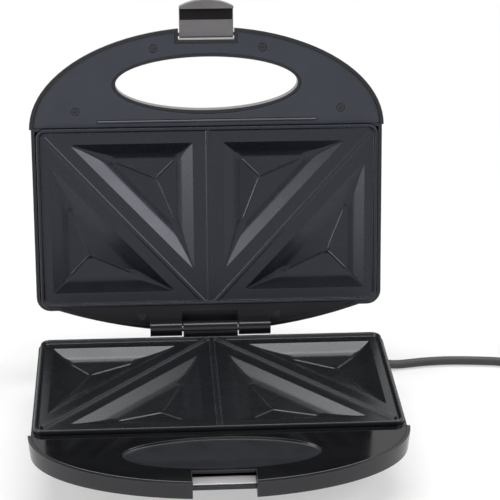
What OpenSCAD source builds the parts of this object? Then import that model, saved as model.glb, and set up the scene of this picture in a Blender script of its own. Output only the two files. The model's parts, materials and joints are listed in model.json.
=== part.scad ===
// Sandwich toaster: two hinged casings, each holding a cooking plate with two split square
// pockets. The lid stands open on its hinge stop, and a swing latch on its handle hooks
// under the ledge in the lower handle when the lid is down.
//
// Pieces are drawn about the hinge-side edge of the cooking plates, at the height where
// the two plates meet: X to the right, Y from the handle towards the hinge, Z up. Lid
// pieces are drawn as if the lid were down, then swung open about the hinge.

/* [Setting] */
// Height above the table at which the two cooking plates meet
seam_height = 40; // [39:1:60]
// Angle that the lid is swung open, in degrees from closed
open_angle = 101; // [90:1:110]

/* [Cooking plates] */
// Width of each cooking plate
plate_width = 220; // [210:1:240]
// Depth of each cooking plate, from hinge side to handle side
plate_depth = 118; // [112:1:130]
// Radius of the plate's corners
plate_corner = 6; // [4:0.5:10]
// Wall thickness of the cast plate
plate_wall = 2.5; // [2:0.1:3]
// Height of the sealing lip and the dividing ribs above the plate's flat
lip_height = 2; // [1:0.1:3]
// Width of the sealing lip
lip_width = 2.2; // [1.5:0.1:4]
// Width of the dividing ribs at their foot
rib_width = 3.4; // [2:0.1:5]
// Gap left between the two lips when the lid is down
lip_gap = 0.3; // [0.2:0.05:1]
// Length of a pocket's short side, across the toaster
pocket_width = 77; // [70:1:78]
// Length of a pocket's long side, from hinge side to handle side
pocket_length = 82; // [76:1:84]
// Distance from the plate's middle to the inner pockets
pocket_middle = 10.5; // [10:0.5:12]
// Width of the flat margin between a pocket and the plate's edge
pocket_margin = 10; // [9:0.5:12]
// Width of a pocket's curved side wall, seen from above
pocket_slope = 9.5; // [8:0.5:12]
// Depth of a pocket where its side wall ends
pocket_side_depth = 5.1; // [4:0.1:6]
// Depth of a pocket at its middle
pocket_depth = 7.8; // [6:0.1:8]

/* [Casings] */
// Width of the lower casing beside its cooking plate
lower_width = 222.4; // [221:0.2:260]
// Width of the lid casing beside its cooking plate
upper_width = 226; // [225:0.5:260]
// Wall thickness of the casings
casing_wall = 2.2; // [1.6:0.1:2.4]
// How far the casing rims stay back from the meeting plane
rim_drop = 3.2; // [2.5:0.1:4]
// Height of the upright wall below each rim
rim_height = 12.3; // [11:0.1:13]
// Depth of the lower casing below the meeting plane
lower_depth = 36; // [34:1:38]
// Depth of the lid casing above the meeting plane
upper_depth = 39; // [36:1:46]
// How far the casing sides lean in from rim to floor
casing_taper = 9; // [6:0.5:14]
// Bulge of the lower casing behind the cooking plate
lower_bulge = 13; // [12:0.5:14]
// Bulge of the lid casing behind the cooking plate
upper_bulge = 18.7; // [17:0.1:20]
// Radius of the lower casing's bulge
lower_back_radius = 462; // [440:1:600]
// Radius of the lid casing's bulge
upper_back_radius = 309; // [300:1:400]
// Distance from the plates' hinge-side edge to the straight back edge beside the bulge
back_edge_gap = 2.5; // [2:0.1:4]
// Radius of the casings' rear corners
casing_corner = 9; // [6:0.5:14]

/* [Handles] */
// Length of the lower handle in front of the cooking plate
lower_handle = 59.7; // [54:0.1:70]
// Length of the lid's handle in front of the cooking plate
upper_handle = 63.9; // [58:0.1:74]
// Width of the lower handle at its shoulders
lower_handle_width = 226; // [224:0.2:266]
// Width of the lid's handle at its shoulders
upper_handle_width = 228.4; // [227:0.2:266]
// Fullness of the handles' curved front, 2 being a true ellipse
handle_fullness = 2; // [2:0.05:2.4]
// How far behind the shoulders the handles' curve is widest
handle_root_back = 1.5; // [1:0.1:10]
// How far a handle's wall leans in from its rim to its outer face
handle_draft = 1; // [0:0.1:1.2]
// How much thinner a handle is at its front than at its shoulders
handle_lift = 2.2; // [0:0.1:3]
// Half length of the finger opening through the lid's handle
grip_half_length = 58.6; // [50:0.1:60]
// Half width of that finger opening
grip_half_width = 17.2; // [15:0.1:18]
// Distance from the lid handle's shoulder to the middle of the finger opening
grip_offset = 27; // [26:0.5:28]
// Half length of the finger dish in the lower handle
dish_half_length = 57.6; // [50:0.1:60]
// Half width of the finger dish
dish_half_width = 17.9; // [15:0.1:18]
// Distance from the lower handle's shoulder to the middle of the finger dish
dish_offset = 24.7; // [24:0.1:25]
// Depth of the finger dish
dish_depth = 1.4; // [0.8:0.1:6]
// Thickness of the two handle covers
cover_thickness = 2; // [1.5:0.1:2.4]
// Joint gap between a handle cover and the rim round it
cover_gap = 0.25; // [0.15:0.05:0.5]
// How far the lid's handle cover lies below the rim round it
cover_recess = 1.2; // [0.5:0.1:2]
// Length of the fine groove across the lid's handle cover
groove_length = 142; // [100:1:160]
// Width of that groove
groove_width = 2.4; // [1.5:0.1:3]

/* [Hinge] */
// Distance of the hinge axis behind the cooking plates
hinge_back = 15; // [14:0.5:16]
// Distance of the hinge axis below the meeting plane
hinge_drop = 2.1; // [1.8:0.1:3]
// Radius of the hinge knuckles
knuckle_radius = 4.8; // [4.4:0.1:4.9]
// Half width of the middle knuckle on the lower casing
middle_knuckle = 17.7; // [14:0.1:20]
// Sideways gap between neighbouring knuckles
knuckle_gap = 0.9; // [0.5:0.1:2]
// Width of each lid knuckle
lid_knuckle = 20.8; // [16:0.1:24]
// Radius of the hinge pins
hinge_pin_radius = 2; // [1.5:0.1:2.4]

/* [Latch] */
// Width of the swing latch
latch_width = 34.4; // [28:0.2:38]
// Distance from the latch pivot to the hooking face of its nose
latch_reach = 17; // [16:0.1:20]
// Thickness of the latch plate
latch_thickness = 2.4; // [2:0.1:3]
// Height of the latch pivot above the meeting plane
latch_pivot_height = 6.6; // [6:0.1:7]
// How far the nose stands out from the latch plate
nose_length = 6.5; // [5:0.1:7]
// Thickness of the nose at the middle of its arched end
nose_thickness = 5.6; // [4:0.1:7]
// Radius of the latch pin
latch_pin_radius = 1.2; // [1:0.1:1.5]
// Depth from front to back of the bright strip in the lower handle
strip_depth = 9.8; // [8:0.1:10]
// Thickness of the bright strip
strip_thickness = 0.9; // [0.6:0.1:1.2]
// How far the bright strip stays back from the front of the shelf that carries it
strip_setback = 1.3; // [0:0.1:2]

/* [Fittings] */
// Radius of the plastic-thread screws
screw_radius = 1.4; // [1.2:0.1:1.6]
// Radius of the screw heads
screw_head = 2.5; // [2.2:0.1:2.8]
// Radius of a screw post
post_radius = 4; // [3.6:0.1:4.2]
// Radius of the heating element's tube
element_radius = 3.2; // [2.8:0.1:3.4]
// Radius of the rubber feet
foot_radius = 8; // [6:0.5:10]
// Radius of an indicator lens
lens_radius = 3.5; // [2.5:0.1:5]

/* [Mains cord] */
// Diameter of the mains cord
cord_diameter = 5.8; // [5:0.1:7]
// Length of the tapered strain relief
relief_length = 22; // [20:1:28]

/* [Hidden] */
$fn = 48;

// Margins that keep neighbouring pieces from touching
fit_gap = 0.1;
run_gap = 0.06;
skim = 0.3;
over = 1;

// Places worked out from the sizes above
plate_half = plate_width / 2;
lower_half = lower_width / 2;
upper_half = upper_width / 2;
lower_handle_half = lower_handle_width / 2;
upper_handle_half = upper_handle_width / 2;
shoulder = plate_depth + 0.5;
lower_reach = shoulder - 0.5 + lower_handle;
upper_reach = shoulder - 0.5 + upper_handle;
handle_root = shoulder - handle_root_back;
rim_bottom = rim_drop + rim_height;
lip_top = -lip_gap / 2;
flat_level = lip_top - lip_height;
flat_bottom = flat_level - plate_wall;
grip_middle = shoulder + grip_offset;
dish_middle = shoulder + dish_offset;
tray_depth = rim_bottom - handle_lift;
tray_floor = tray_depth - 2;
cover_top = rim_drop + cover_recess;
knuckle_room_depth = 9;
knuckle_room = middle_knuckle + knuckle_gap + 1.5;
grip_ring = 2.4;
grip_ring_drop = 0.9;
bowl_wall = 1.2;
peg_end = rim_drop + cover_thickness + 3.2;

// Heating element and what lies under a plate
bed_level = flat_level - pocket_depth - plate_wall - 0.7;
element_level = bed_level - element_radius - fit_gap;
element_half_x = 78;
element_front = plate_depth - 30;
element_back = 30;
element_corner = 16;
terminal_x = 14;
reflector_floor = element_level - element_radius - 1.4;
reflector_wall = 0.8;
reflector_side_gap = 1;
reflector_half_x = min(lower_half, upper_half) - casing_taper - casing_wall - reflector_side_gap;
reflector_margin = 9.5;

// Screws that hold a plate: places on the plate's middle and on its dividing ribs
rib_middle_x = plate_half / 2 + 0.1;
rib_middle_y = -plate_depth / 2 + 3.2;
plate_posts = [[0, -16], [0, 16 - plate_depth], [rib_middle_x, rib_middle_y],
    [-rib_middle_x, rib_middle_y]];
// Screws that hold the handle covers
cover_posts = [[-84.4, -shoulder - 10], [86.2, -shoulder - 10],
    [-33.9, -shoulder - 49.9], [35.9, -shoulder - 49.9]];
hinge_screw_x = middle_knuckle + knuckle_gap + lid_knuckle + 5.2;
hinge_screw_y = 8.1;

// Feet
foot_places = [[-84, -92], [84, -92], [-84, -14], [84, -14]];

// Latch, drawn with the lid down and the latch straight out
latch_pivot = shoulder + 58.5;
latch_half = latch_width / 2;
barrel_radius = 2.4;
plate_offset = 3;
notch_gap = 0.7;
upper_notch_half = latch_half + notch_gap;
upper_notch_y = latch_pivot - plate_offset - skim;
lower_notch_half = latch_half + 1;
shelf_bottom = latch_reach - latch_pivot_height - skim;
shelf_top = shelf_bottom - 2.2;
shelf_front = latch_pivot - plate_offset - 1.6;
strip_back = shelf_front - strip_depth;
end_side = 1.3;

// Middle of the whole toaster, from front of lower handle to back of the opened lid
function swung_y(y, z) = hinge_back + cos(open_angle) * (y - hinge_back)
    + sin(open_angle) * (z + hinge_drop);
back_edge = swung_y(-shoulder + casing_taper + 1, upper_depth);
front_edge = handle_root + (lower_reach - handle_root)
    * pow(1 - pow(lower_notch_half / lower_handle_half, handle_fullness), 1 / handle_fullness);
middle_y = (front_edge - back_edge) / 2;

// Placing: lower pieces stand on the table, lid pieces swing about the hinge
module stand() translate([0, middle_y, seam_height]) children();
module swing() stand() translate([0, hinge_back, -hinge_drop]) rotate([-open_angle, 0, 0])
    translate([0, -hinge_back, hinge_drop]) children();
module flip() mirror([0, 0, 1]) children();
module both_sides() {
    children();
    mirror([1, 0, 0]) children();
}

// ---------- outlines ----------

function power(v, e) = sign(v) * pow(abs(v), e);
function oval_points(half_x, half_y, fullness, steps) =
    [for (i = [0 : steps - 1]) let (a = 360 * i / steps)
        [half_x * power(cos(a), 2 / fullness), half_y * power(sin(a), 2 / fullness)]];

// Whole oval that a handle's curved front is part of, pulled in by inset
function handle_oval(half, reach, inset) =
    [for (q = oval_points(half - inset, reach - handle_root - inset, handle_fullness, 96))
        [q[0], q[1] - handle_root]];

// Curved front of a handle, from its shoulders forwards, pulled in by inset; back is how
// far it stays in front of the shoulders
module handle_outline(half, reach, inset = 0, back = 0) {
    intersection() {
        polygon(handle_oval(half, reach, inset));
        translate([-half, -reach - over]) square([2 * half, reach + over - shoulder - back]);
    }
}

// Points of an arc about a middle, from one angle to another
function arc_points(middle, radius, from, to, steps) =
    [for (i = [0 : steps]) let (a = from + (to - from) * i / steps)
        [middle[0] + radius * cos(a), middle[1] + radius * sin(a)]];

// Plan of a casing beside and behind the plate, pulled in by inset, with its front
// corners rounded by front_corner: a straight back edge with the bulge standing out of
// its middle; the count of points never changes
function casing_ring(half, bulge, round_back, inset, front_corner, rear_corner) =
    let (side = half - inset,
         back = round_back - inset,
         rear_x = side - rear_corner,
         rear_y = back_edge_gap - inset,
         bulge_y = bulge - round_back,
         cross_x = min(sqrt(pow(back, 2) - pow(rear_y - bulge_y, 2)), rear_x - 1),
         turn = asin(cross_x / back),
         front_y = -shoulder + inset + front_corner,
         front_x = side - front_corner)
    concat(
        arc_points([-front_x, front_y], front_corner, 180, 270, 5),
        arc_points([front_x, front_y], front_corner, -90, 0, 5),
        arc_points([rear_x, rear_y - rear_corner], rear_corner, 0, 90, 6),
        arc_points([0, bulge_y], back, 90 - turn, 90 + turn, 24),
        arc_points([-rear_x, rear_y - rear_corner], rear_corner, 90, 180, 6));

module casing_outline(half, bulge, round_back, inset = 0) {
    polygon(casing_ring(half, bulge, round_back, inset, 0.4, max(casing_corner - inset, 1)));
}

// Solid with rings of equal count at given heights, first ring lowest
module ring_loft(rings, heights) {
    count = len(rings[0]);
    last = len(rings) - 1;
    points = [for (l = [0 : last], q = rings[l]) [q[0], q[1], heights[l]]];
    polyhedron(points, concat(
        [[for (i = [0 : count - 1]) i]],
        [for (l = [0 : last - 1], i = [0 : count - 1], half = [0, 1])
            let (n = (i + 1) % count)
            half == 0 ? [l * count + i, (l + 1) * count + i, (l + 1) * count + n]
                : [l * count + i, (l + 1) * count + n, l * count + n]],
        [[for (i = [count - 1 : -1 : 0]) last * count + i]]), convexity = 4);
}

module rounded_sheet(half_x, back, front, corner) {
    translate([-half_x, -front + corner]) square([2 * half_x, front - back - 2 * corner]);
    translate([-half_x + corner, -front]) square([2 * (half_x - corner), front - back]);
    for (x = [-1, 1], y = [-back - corner, -front + corner])
        translate([x * (half_x - corner), y]) circle(r = corner);
}

module grip_oval(grow) {
    translate([0, -grip_middle])
        polygon(oval_points(grip_half_length + grow, grip_half_width + grow, 2, 64));
}

module dish_oval(grow) {
    translate([0, -dish_middle])
        polygon(oval_points(dish_half_length + grow, dish_half_width + grow, 2, 64));
}

module lower_notch(grow = 0) {
    translate([-lower_notch_half - grow, -lower_reach - over])
        square([2 * (lower_notch_half + grow), lower_reach + over - strip_back + grow]);
}

module upper_notch(grow = 0) {
    translate([-upper_notch_half - grow, -upper_reach - over])
        square([2 * (upper_notch_half + grow), upper_reach + over - upper_notch_y + grow]);
}

// ---------- screws and posts ----------

// Countersunk-style screw, head down at z = 0 and shank upwards
module screw(shank_length) {
    difference() {
        union() {
            cylinder(r = screw_head, h = 1.6);
            translate([0, 0, 1.6]) cylinder(r = screw_radius, h = shank_length);
        }
        for (turn = [0, 90]) rotate(turn)
            translate([-1.5, -0.3, -over]) cube([3, 0.6, over + 0.8]);
    }
}

// ---------- cooking plates ----------

// Corners of a pocket: right angle first, then the end of the short side, then of the long
inner_pocket = [
    [-pocket_middle, -plate_depth + pocket_margin + 1],
    [-pocket_middle - pocket_width, -plate_depth + pocket_margin + 1],
    [-pocket_middle, -plate_depth + pocket_margin + 1 + pocket_length]];
outer_pocket = [
    [-plate_half + pocket_margin - 1.2, -pocket_margin],
    [-plate_half + pocket_margin - 1.2 + pocket_width, -pocket_margin],
    [-plate_half + pocket_margin - 1.2, -pocket_margin - pocket_length]];
pocket_corner = 1.6;

function inscribed_radius(p) =
    let (a = norm(p[1] - p[0]), b = norm(p[2] - p[0]), c = norm(p[2] - p[1]))
    (a + b - c) / 2;
function inscribed_middle(p) =
    let (a = norm(p[2] - p[1]), b = norm(p[2] - p[0]), c = norm(p[1] - p[0]))
    (a * p[0] + b * p[1] + c * p[2]) / (a + b + c);
function unit(v) = v / norm(v);

// Points of a corner arc, from the edge that comes in to the edge that goes out
function corner_arc(before, at, after, radius, steps) =
    let (u = unit(before - at), v = unit(after - at),
         half = acos(u * v) / 2,
         along = radius / tan(half),
         middle = at + unit(u + v) * radius / sin(half),
         from = at + u * along - middle,
         to = at + v * along - middle)
    [for (i = [0 : steps]) middle + radius * unit(from * (1 - i / steps) + to * i / steps)];
function pocket_ring(p) = concat(
    corner_arc(p[2], p[0], p[1], pocket_corner, 3),
    corner_arc(p[0], p[1], p[2], pocket_corner, 3),
    corner_arc(p[1], p[2], p[0], pocket_corner, 3));

// Distance in from the pocket's edge, and depth there, along its curved side wall
side_wall = [[0, 0], [0.1, 0.24], [0.32, 0.6], [0.6, 0.86], [0.85, 0.97], [1, 1]];

// Solid form of a pocket, grown outwards by grow, with its mouth raised by rise
module pocket_form(p, grow, rise) {
    ring = pocket_ring(p);
    middle = inscribed_middle(p);
    radius = inscribed_radius(p);
    count = len(ring);
    levels = concat([[0, rise]],
        [for (s = side_wall) [s[0] * pocket_slope, -s[1] * pocket_side_depth - grow]]);
    points = concat(
        [for (level = levels, q = ring)
            let (scaled = middle + (q - middle) * (1 + (grow - level[0]) / radius))
            [scaled[0], scaled[1], level[1]]],
        [[middle[0], middle[1], -pocket_depth - grow]]);
    last = len(levels) - 1;
    faces = concat(
        [[for (i = [0 : count - 1]) i]],
        [for (l = [0 : last - 1], i = [0 : count - 1])
            let (j = (i + 1) % count)
            [l * count + i, (l + 1) * count + i, (l + 1) * count + j, l * count + j]],
        [for (i = [0 : count - 1])
            let (j = (i + 1) % count)
            [last * count + i, (last + 1) * count, last * count + j]]);
    turned = (p[1][0] - p[0][0]) * (p[2][1] - p[0][1]) > 0;
    translate([0, 0, flat_level])
        polyhedron(turned ? points : points,
            turned ? [for (f = faces) [for (i = [len(f) - 1 : -1 : 0]) f[i]]] : faces,
            convexity = 4);
}

module pocket_forms(grow, rise) {
    both_sides() {
        pocket_form(inner_pocket, grow, rise);
        pocket_form(outer_pocket, grow, rise);
    }
}

// Rib of trapezoid section along a line on the plate's flat
module rib(from, to) {
    run = to - from;
    rise = lip_height - 0.1;
    translate([from[0], from[1], flat_level]) rotate(atan2(run[1], run[0]))
        rotate([90, 0, 90]) linear_extrude(norm(run))
            polygon([[-rib_width / 2, -0.5], [rib_width / 2, -0.5], [rib_width / 2, 0],
                [rib_width / 5, rise], [-rib_width / 5, rise], [-rib_width / 2, 0]]);
}

// Ring under the plate that the heating element lies against
module element_bed() {
    translate([0, 0, bed_level]) linear_extrude(flat_bottom - bed_level + 0.5) difference() {
        rounded_sheet(element_half_x + 4.5, element_back - 4.5, element_front + 4.5,
            element_corner + 4.5);
        rounded_sheet(element_half_x - 4.5, element_back + 4.5, element_front - 4.5,
            element_corner - 4.5);
    }
}

module cooking_plate() {
    difference() {
        union() {
            translate([0, 0, flat_bottom]) linear_extrude(plate_wall)
                rounded_sheet(plate_half, 0, plate_depth, plate_corner);
            translate([0, 0, flat_bottom - 1.6])
                linear_extrude(lip_top - flat_bottom + 1.6) difference() {
                    rounded_sheet(plate_half, 0, plate_depth, plate_corner);
                    rounded_sheet(plate_half - lip_width, lip_width, plate_depth - lip_width,
                        plate_corner - lip_width);
                }
            pocket_forms(plate_wall, -0.5);
            element_bed();
            for (p = plate_posts) translate([p[0], p[1], reflector_floor])
                cylinder(r = post_radius, h = flat_bottom - reflector_floor + 0.5);
        }
        pocket_forms(0, over + lip_height);
        for (p = plate_posts) translate([p[0], p[1], reflector_floor - over])
            cylinder(r = screw_radius + 0.03, h = over + 11);
    }
    both_sides()
        rib([-plate_half + 5, -plate_depth + 6], [-4.2, -lip_width]);
    rib([0, -plate_depth + lip_width - 0.2], [0, -lip_width + 0.2]);
}

// Bent tube with its two ends turned towards the hinge side
module element_tube() {
    straight_x = element_half_x - element_corner;
    long_y = element_front - element_back - 2 * element_corner;
    end_turn = 6;
    translate([0, 0, element_level]) {
        translate([-straight_x, -element_front, 0]) rotate([0, 90, 0])
            cylinder(r = element_radius, h = 2 * straight_x);
        both_sides() {
            translate([straight_x, -element_front + element_corner, 0])
                rotate(-90) rotate_extrude(angle = 90)
                    translate([element_corner, 0]) circle(r = element_radius);
            translate([element_half_x, -element_front + element_corner, 0])
                rotate([-90, 0, 0]) cylinder(r = element_radius, h = long_y);
            translate([straight_x, -element_back - element_corner, 0])
                rotate_extrude(angle = 90)
                    translate([element_corner, 0]) circle(r = element_radius);
            translate([terminal_x + end_turn, -element_back, 0]) rotate([0, 90, 0])
                cylinder(r = element_radius, h = straight_x - terminal_x - end_turn);
            translate([terminal_x + end_turn, -element_back + end_turn, 0])
                rotate(180) rotate_extrude(angle = 90)
                    translate([end_turn, 0]) circle(r = element_radius);
            translate([terminal_x, -element_back + end_turn, 0]) rotate([-90, 0, 0])
                cylinder(r = element_radius, h = 5);
            translate([terminal_x, -element_back + end_turn + 5, 0]) rotate([-90, 0, 0])
                cylinder(r = 1.2, h = 13);
        }
    }
}

// Thin tray that throws the heat back to the plate
module reflector_tray() {
    difference() {
        translate([0, 0, reflector_floor - reflector_wall])
            linear_extrude(bed_level + 2 - reflector_floor + reflector_wall)
                rounded_sheet(reflector_half_x, reflector_margin,
                    plate_depth - reflector_margin, 8);
        translate([0, 0, reflector_floor]) linear_extrude(30)
            rounded_sheet(reflector_half_x - reflector_wall,
                reflector_margin + reflector_wall,
                plate_depth - reflector_margin - reflector_wall, 8 - reflector_wall);
        for (p = plate_posts) translate([p[0], p[1], reflector_floor - 2])
            cylinder(r = screw_radius + 0.4, h = 4);
        // way through for the element's leads
        both_sides() translate([terminal_x, -reflector_margin - 4, element_level])
            rotate([-90, 0, 0]) cylinder(r = 2.6, h = 6);
        translate([3.4, -61, reflector_floor - 2]) cylinder(r = 2.4, h = 4);
    }
}

// Plate screws stand in posts that rise from the casing's floor
plate_screw_head = reflector_floor - reflector_wall - fit_gap - 4;
module plate_screws() {
    for (p = plate_posts) translate([p[0], p[1], plate_screw_head])
        screw(plate_wall + 10.4);
}

// ---------- casings ----------

// Side view of a handle tray, with its underside rising towards the front by lift
module tray_wedge(half, reach, lift_off, top) {
    rotate([90, 0, 90]) translate([0, 0, -half]) linear_extrude(2 * half)
        polygon([[-reach - over, -rim_bottom + handle_lift * (1 + over / (reach - shoulder))
                + lift_off],
            [-shoulder + over, -rim_bottom + lift_off],
            [-shoulder + over, top], [-reach - over, top]]);
}

// Casing drawn rim up and floor down, open towards the meeting plane
module casing_shell(half, handle_half, reach, bulge, round_back, depth) {
    difference() {
        union() {
            translate([0, 0, -rim_bottom]) linear_extrude(rim_height)
                casing_outline(half, bulge, round_back);
            ring_loft([
                casing_ring(half, bulge, round_back, casing_taper + 1, 12, 6),
                casing_ring(half, bulge, round_back, casing_taper - 3.5, 12, 7),
                casing_ring(half, bulge, round_back, 0, 0.4, casing_corner)],
                [-depth, -depth + 5, -rim_bottom + 0.3]);
            intersection() {
                ring_loft([handle_oval(handle_half, reach, handle_draft),
                    handle_oval(handle_half, reach, 0)], [-rim_bottom, -rim_drop]);
                tray_wedge(handle_half, reach, 0, -rim_drop + over);
            }
        }
        ring_loft([
            casing_ring(half, bulge, round_back, casing_taper + casing_wall, 10.5, 4),
            casing_ring(half, bulge, round_back, casing_taper - 3.5 + casing_wall, 10.5, 5),
            casing_ring(half, bulge, round_back, casing_wall, 0.4,
                casing_corner - casing_wall)],
            [-depth + casing_wall, -depth + 5, -rim_bottom + 0.3]);
        translate([0, 0, -rim_bottom]) linear_extrude(rim_height + over)
            casing_outline(half, bulge, round_back, casing_wall);
        translate([0, 0, -rim_drop - 6]) linear_extrude(20)
            rounded_sheet(plate_half + 0.25, -0.25, plate_depth + 0.3, plate_corner + 0.25);
    }
}

module tray_hollow(half, reach, top) {
    intersection() {
        translate([0, 0, -rim_bottom]) linear_extrude(rim_bottom) children();
        tray_wedge(half, reach, 2, top);
    }
}

// Room inside a hollow post for a plate screw, from outside the floor
module plate_screw_bores(depth) {
    for (p = plate_posts) translate([p[0], p[1], 0]) {
        translate([0, 0, -depth - over])
            cylinder(r = screw_head + 0.4, h = depth + over + plate_screw_head + 1.6);
        translate([0, 0, -depth]) cylinder(r = screw_radius + 0.4, h = depth);
    }
}

module plate_screw_posts(depth) {
    for (p = plate_posts) translate([p[0], p[1], -depth + 0.5])
        cylinder(r = post_radius + 1,
            h = depth - 0.5 + reflector_floor - reflector_wall - fit_gap);
}

// Knuckle between two x positions, with its web towards the casing
module knuckle(from_x, to_x, web_low, web_high, web_back, web_front) {
    translate([from_x, hinge_back, -hinge_drop]) rotate([0, 90, 0])
        cylinder(r = knuckle_radius, h = to_x - from_x);
    translate([from_x, web_front, web_low])
        cube([to_x - from_x, web_back - web_front, web_high - web_low]);
}

module hinge_bore(from_x, to_x, radius) {
    translate([from_x - over, hinge_back, -hinge_drop]) rotate([0, 90, 0])
        cylinder(r = radius, h = to_x - from_x + 2 * over);
}

lid_knuckle_from = middle_knuckle + knuckle_gap;
lid_knuckle_to = lid_knuckle_from + lid_knuckle;

// Rear ledge between plate and back wall, with its top at level
module rear_ledge(half, bulge, round_back, level) {
    translate([0, 0, level - 2.4]) linear_extrude(2.4) intersection() {
        casing_outline(half, bulge, round_back, casing_wall - 0.5);
        translate([-half, 0.6]) square([2 * half, bulge]);
    }
}

vent_count = 7;
module floor_vents(depth) {
    for (i = [0 : vent_count - 1], y = [-74, -44])
        translate([-33 + i * 11, y, -depth - over]) linear_extrude(casing_wall + 2 * over) {
            translate([-1.2, -9]) square([2.4, 18]);
            for (end = [-9, 9]) translate([0, end]) circle(r = 1.2);
        }
}

module lower_casing() {
    knuckle_room = knuckle_radius + 0.5;
    color("#2c2d31") stand() difference() {
        union() {
            difference() {
                casing_shell(lower_half, lower_handle_half, lower_reach, lower_bulge,
                    lower_back_radius, lower_depth);
                tray_hollow(lower_handle_half, lower_reach, 0) difference() {
                    handle_outline(lower_handle_half, lower_reach, casing_wall, casing_wall);
                    lower_notch(casing_wall);
                }
                // inner walls stop under the handle cover and its dish
                translate([0, 0, -rim_drop - cover_thickness - fit_gap])
                    linear_extrude(cover_thickness + fit_gap + over)
                        handle_outline(lower_handle_half, lower_reach, casing_wall, -0.3);
                translate([0, 0, -rim_drop - dish_depth - bowl_wall - fit_gap])
                    linear_extrude(30) dish_oval(bowl_wall + 0.2);
                // back rim falls away behind the plate
                rotate([90, 0, 90]) translate([0, 0, -lower_half]) linear_extrude(lower_width)
                    polygon([[4, 20], [4, -rim_drop + 0.2], [30, -17.6], [30, 20]]);
                // room for the short wall behind the bright strip
                translate([-lower_notch_half - 0.8, -strip_back - 0.2, -shelf_top])
                    cube([2 * lower_notch_half + 1.6, 4, 30]);
                // room for the lid's knuckles
                translate([-lid_knuckle_to - 1.5, hinge_back - knuckle_room,
                    -hinge_drop - knuckle_room - 0.8])
                    cube([2 * lid_knuckle_to + 3, 30, 30]);
            }
            plate_screw_posts(lower_depth);
            rear_ledge(lower_half, lower_bulge, lower_back_radius, -rim_drop - 5.6);
            // shelf that carries the bright strip
            translate([-lower_notch_half - 1, -shelf_front, -shelf_bottom])
                cube([2 * lower_notch_half + 2, strip_depth - 0.4, shelf_bottom - shelf_top]);
            knuckle(-middle_knuckle, middle_knuckle, -hinge_drop - 14, -hinge_drop,
                hinge_back + 4, hinge_back - 7);
            // screw seats under the handle cover
            for (p = cover_posts) translate([p[0], p[1], -rim_bottom + handle_lift])
                cylinder(r = post_radius, h = rim_bottom - handle_lift - peg_end - fit_gap);
            // collar round the cord's way in
            gland_place() translate([0, 0, -9]) cylinder(r = 5.8, h = 9 + gland_collar);
        }
        // notch for the latch, in front of and above the shelf
        translate([0, 0, -shelf_top]) linear_extrude(30) lower_notch();
        translate([-lower_notch_half, -lower_reach - over, -lower_depth])
            cube([2 * lower_notch_half, lower_reach + over - shelf_front, lower_depth + over]);
        translate([-lower_notch_half, -lower_reach - over, -lower_depth])
            cube([2 * lower_notch_half, lower_reach + over - strip_back,
                lower_depth - shelf_bottom]);
        plate_screw_bores(lower_depth);
        for (p = cover_posts) translate([p[0], p[1], -rim_bottom - over]) {
            cylinder(r = screw_head + 0.4, h = over + rim_bottom - peg_end - 2.8);
            cylinder(r = screw_radius + 0.3, h = rim_height);
        }
        for (p = foot_places) translate([p[0], p[1], -lower_depth - over])
            cylinder(r = foot_radius + 0.1, h = over + 0.8);
        floor_vents(lower_depth);
        hinge_bore(-middle_knuckle, middle_knuckle, hinge_pin_radius + 0.02);
        gland_place() translate([0, 0, -20]) cylinder(r = 4.3, h = 21 + gland_collar);
    }
}

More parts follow.
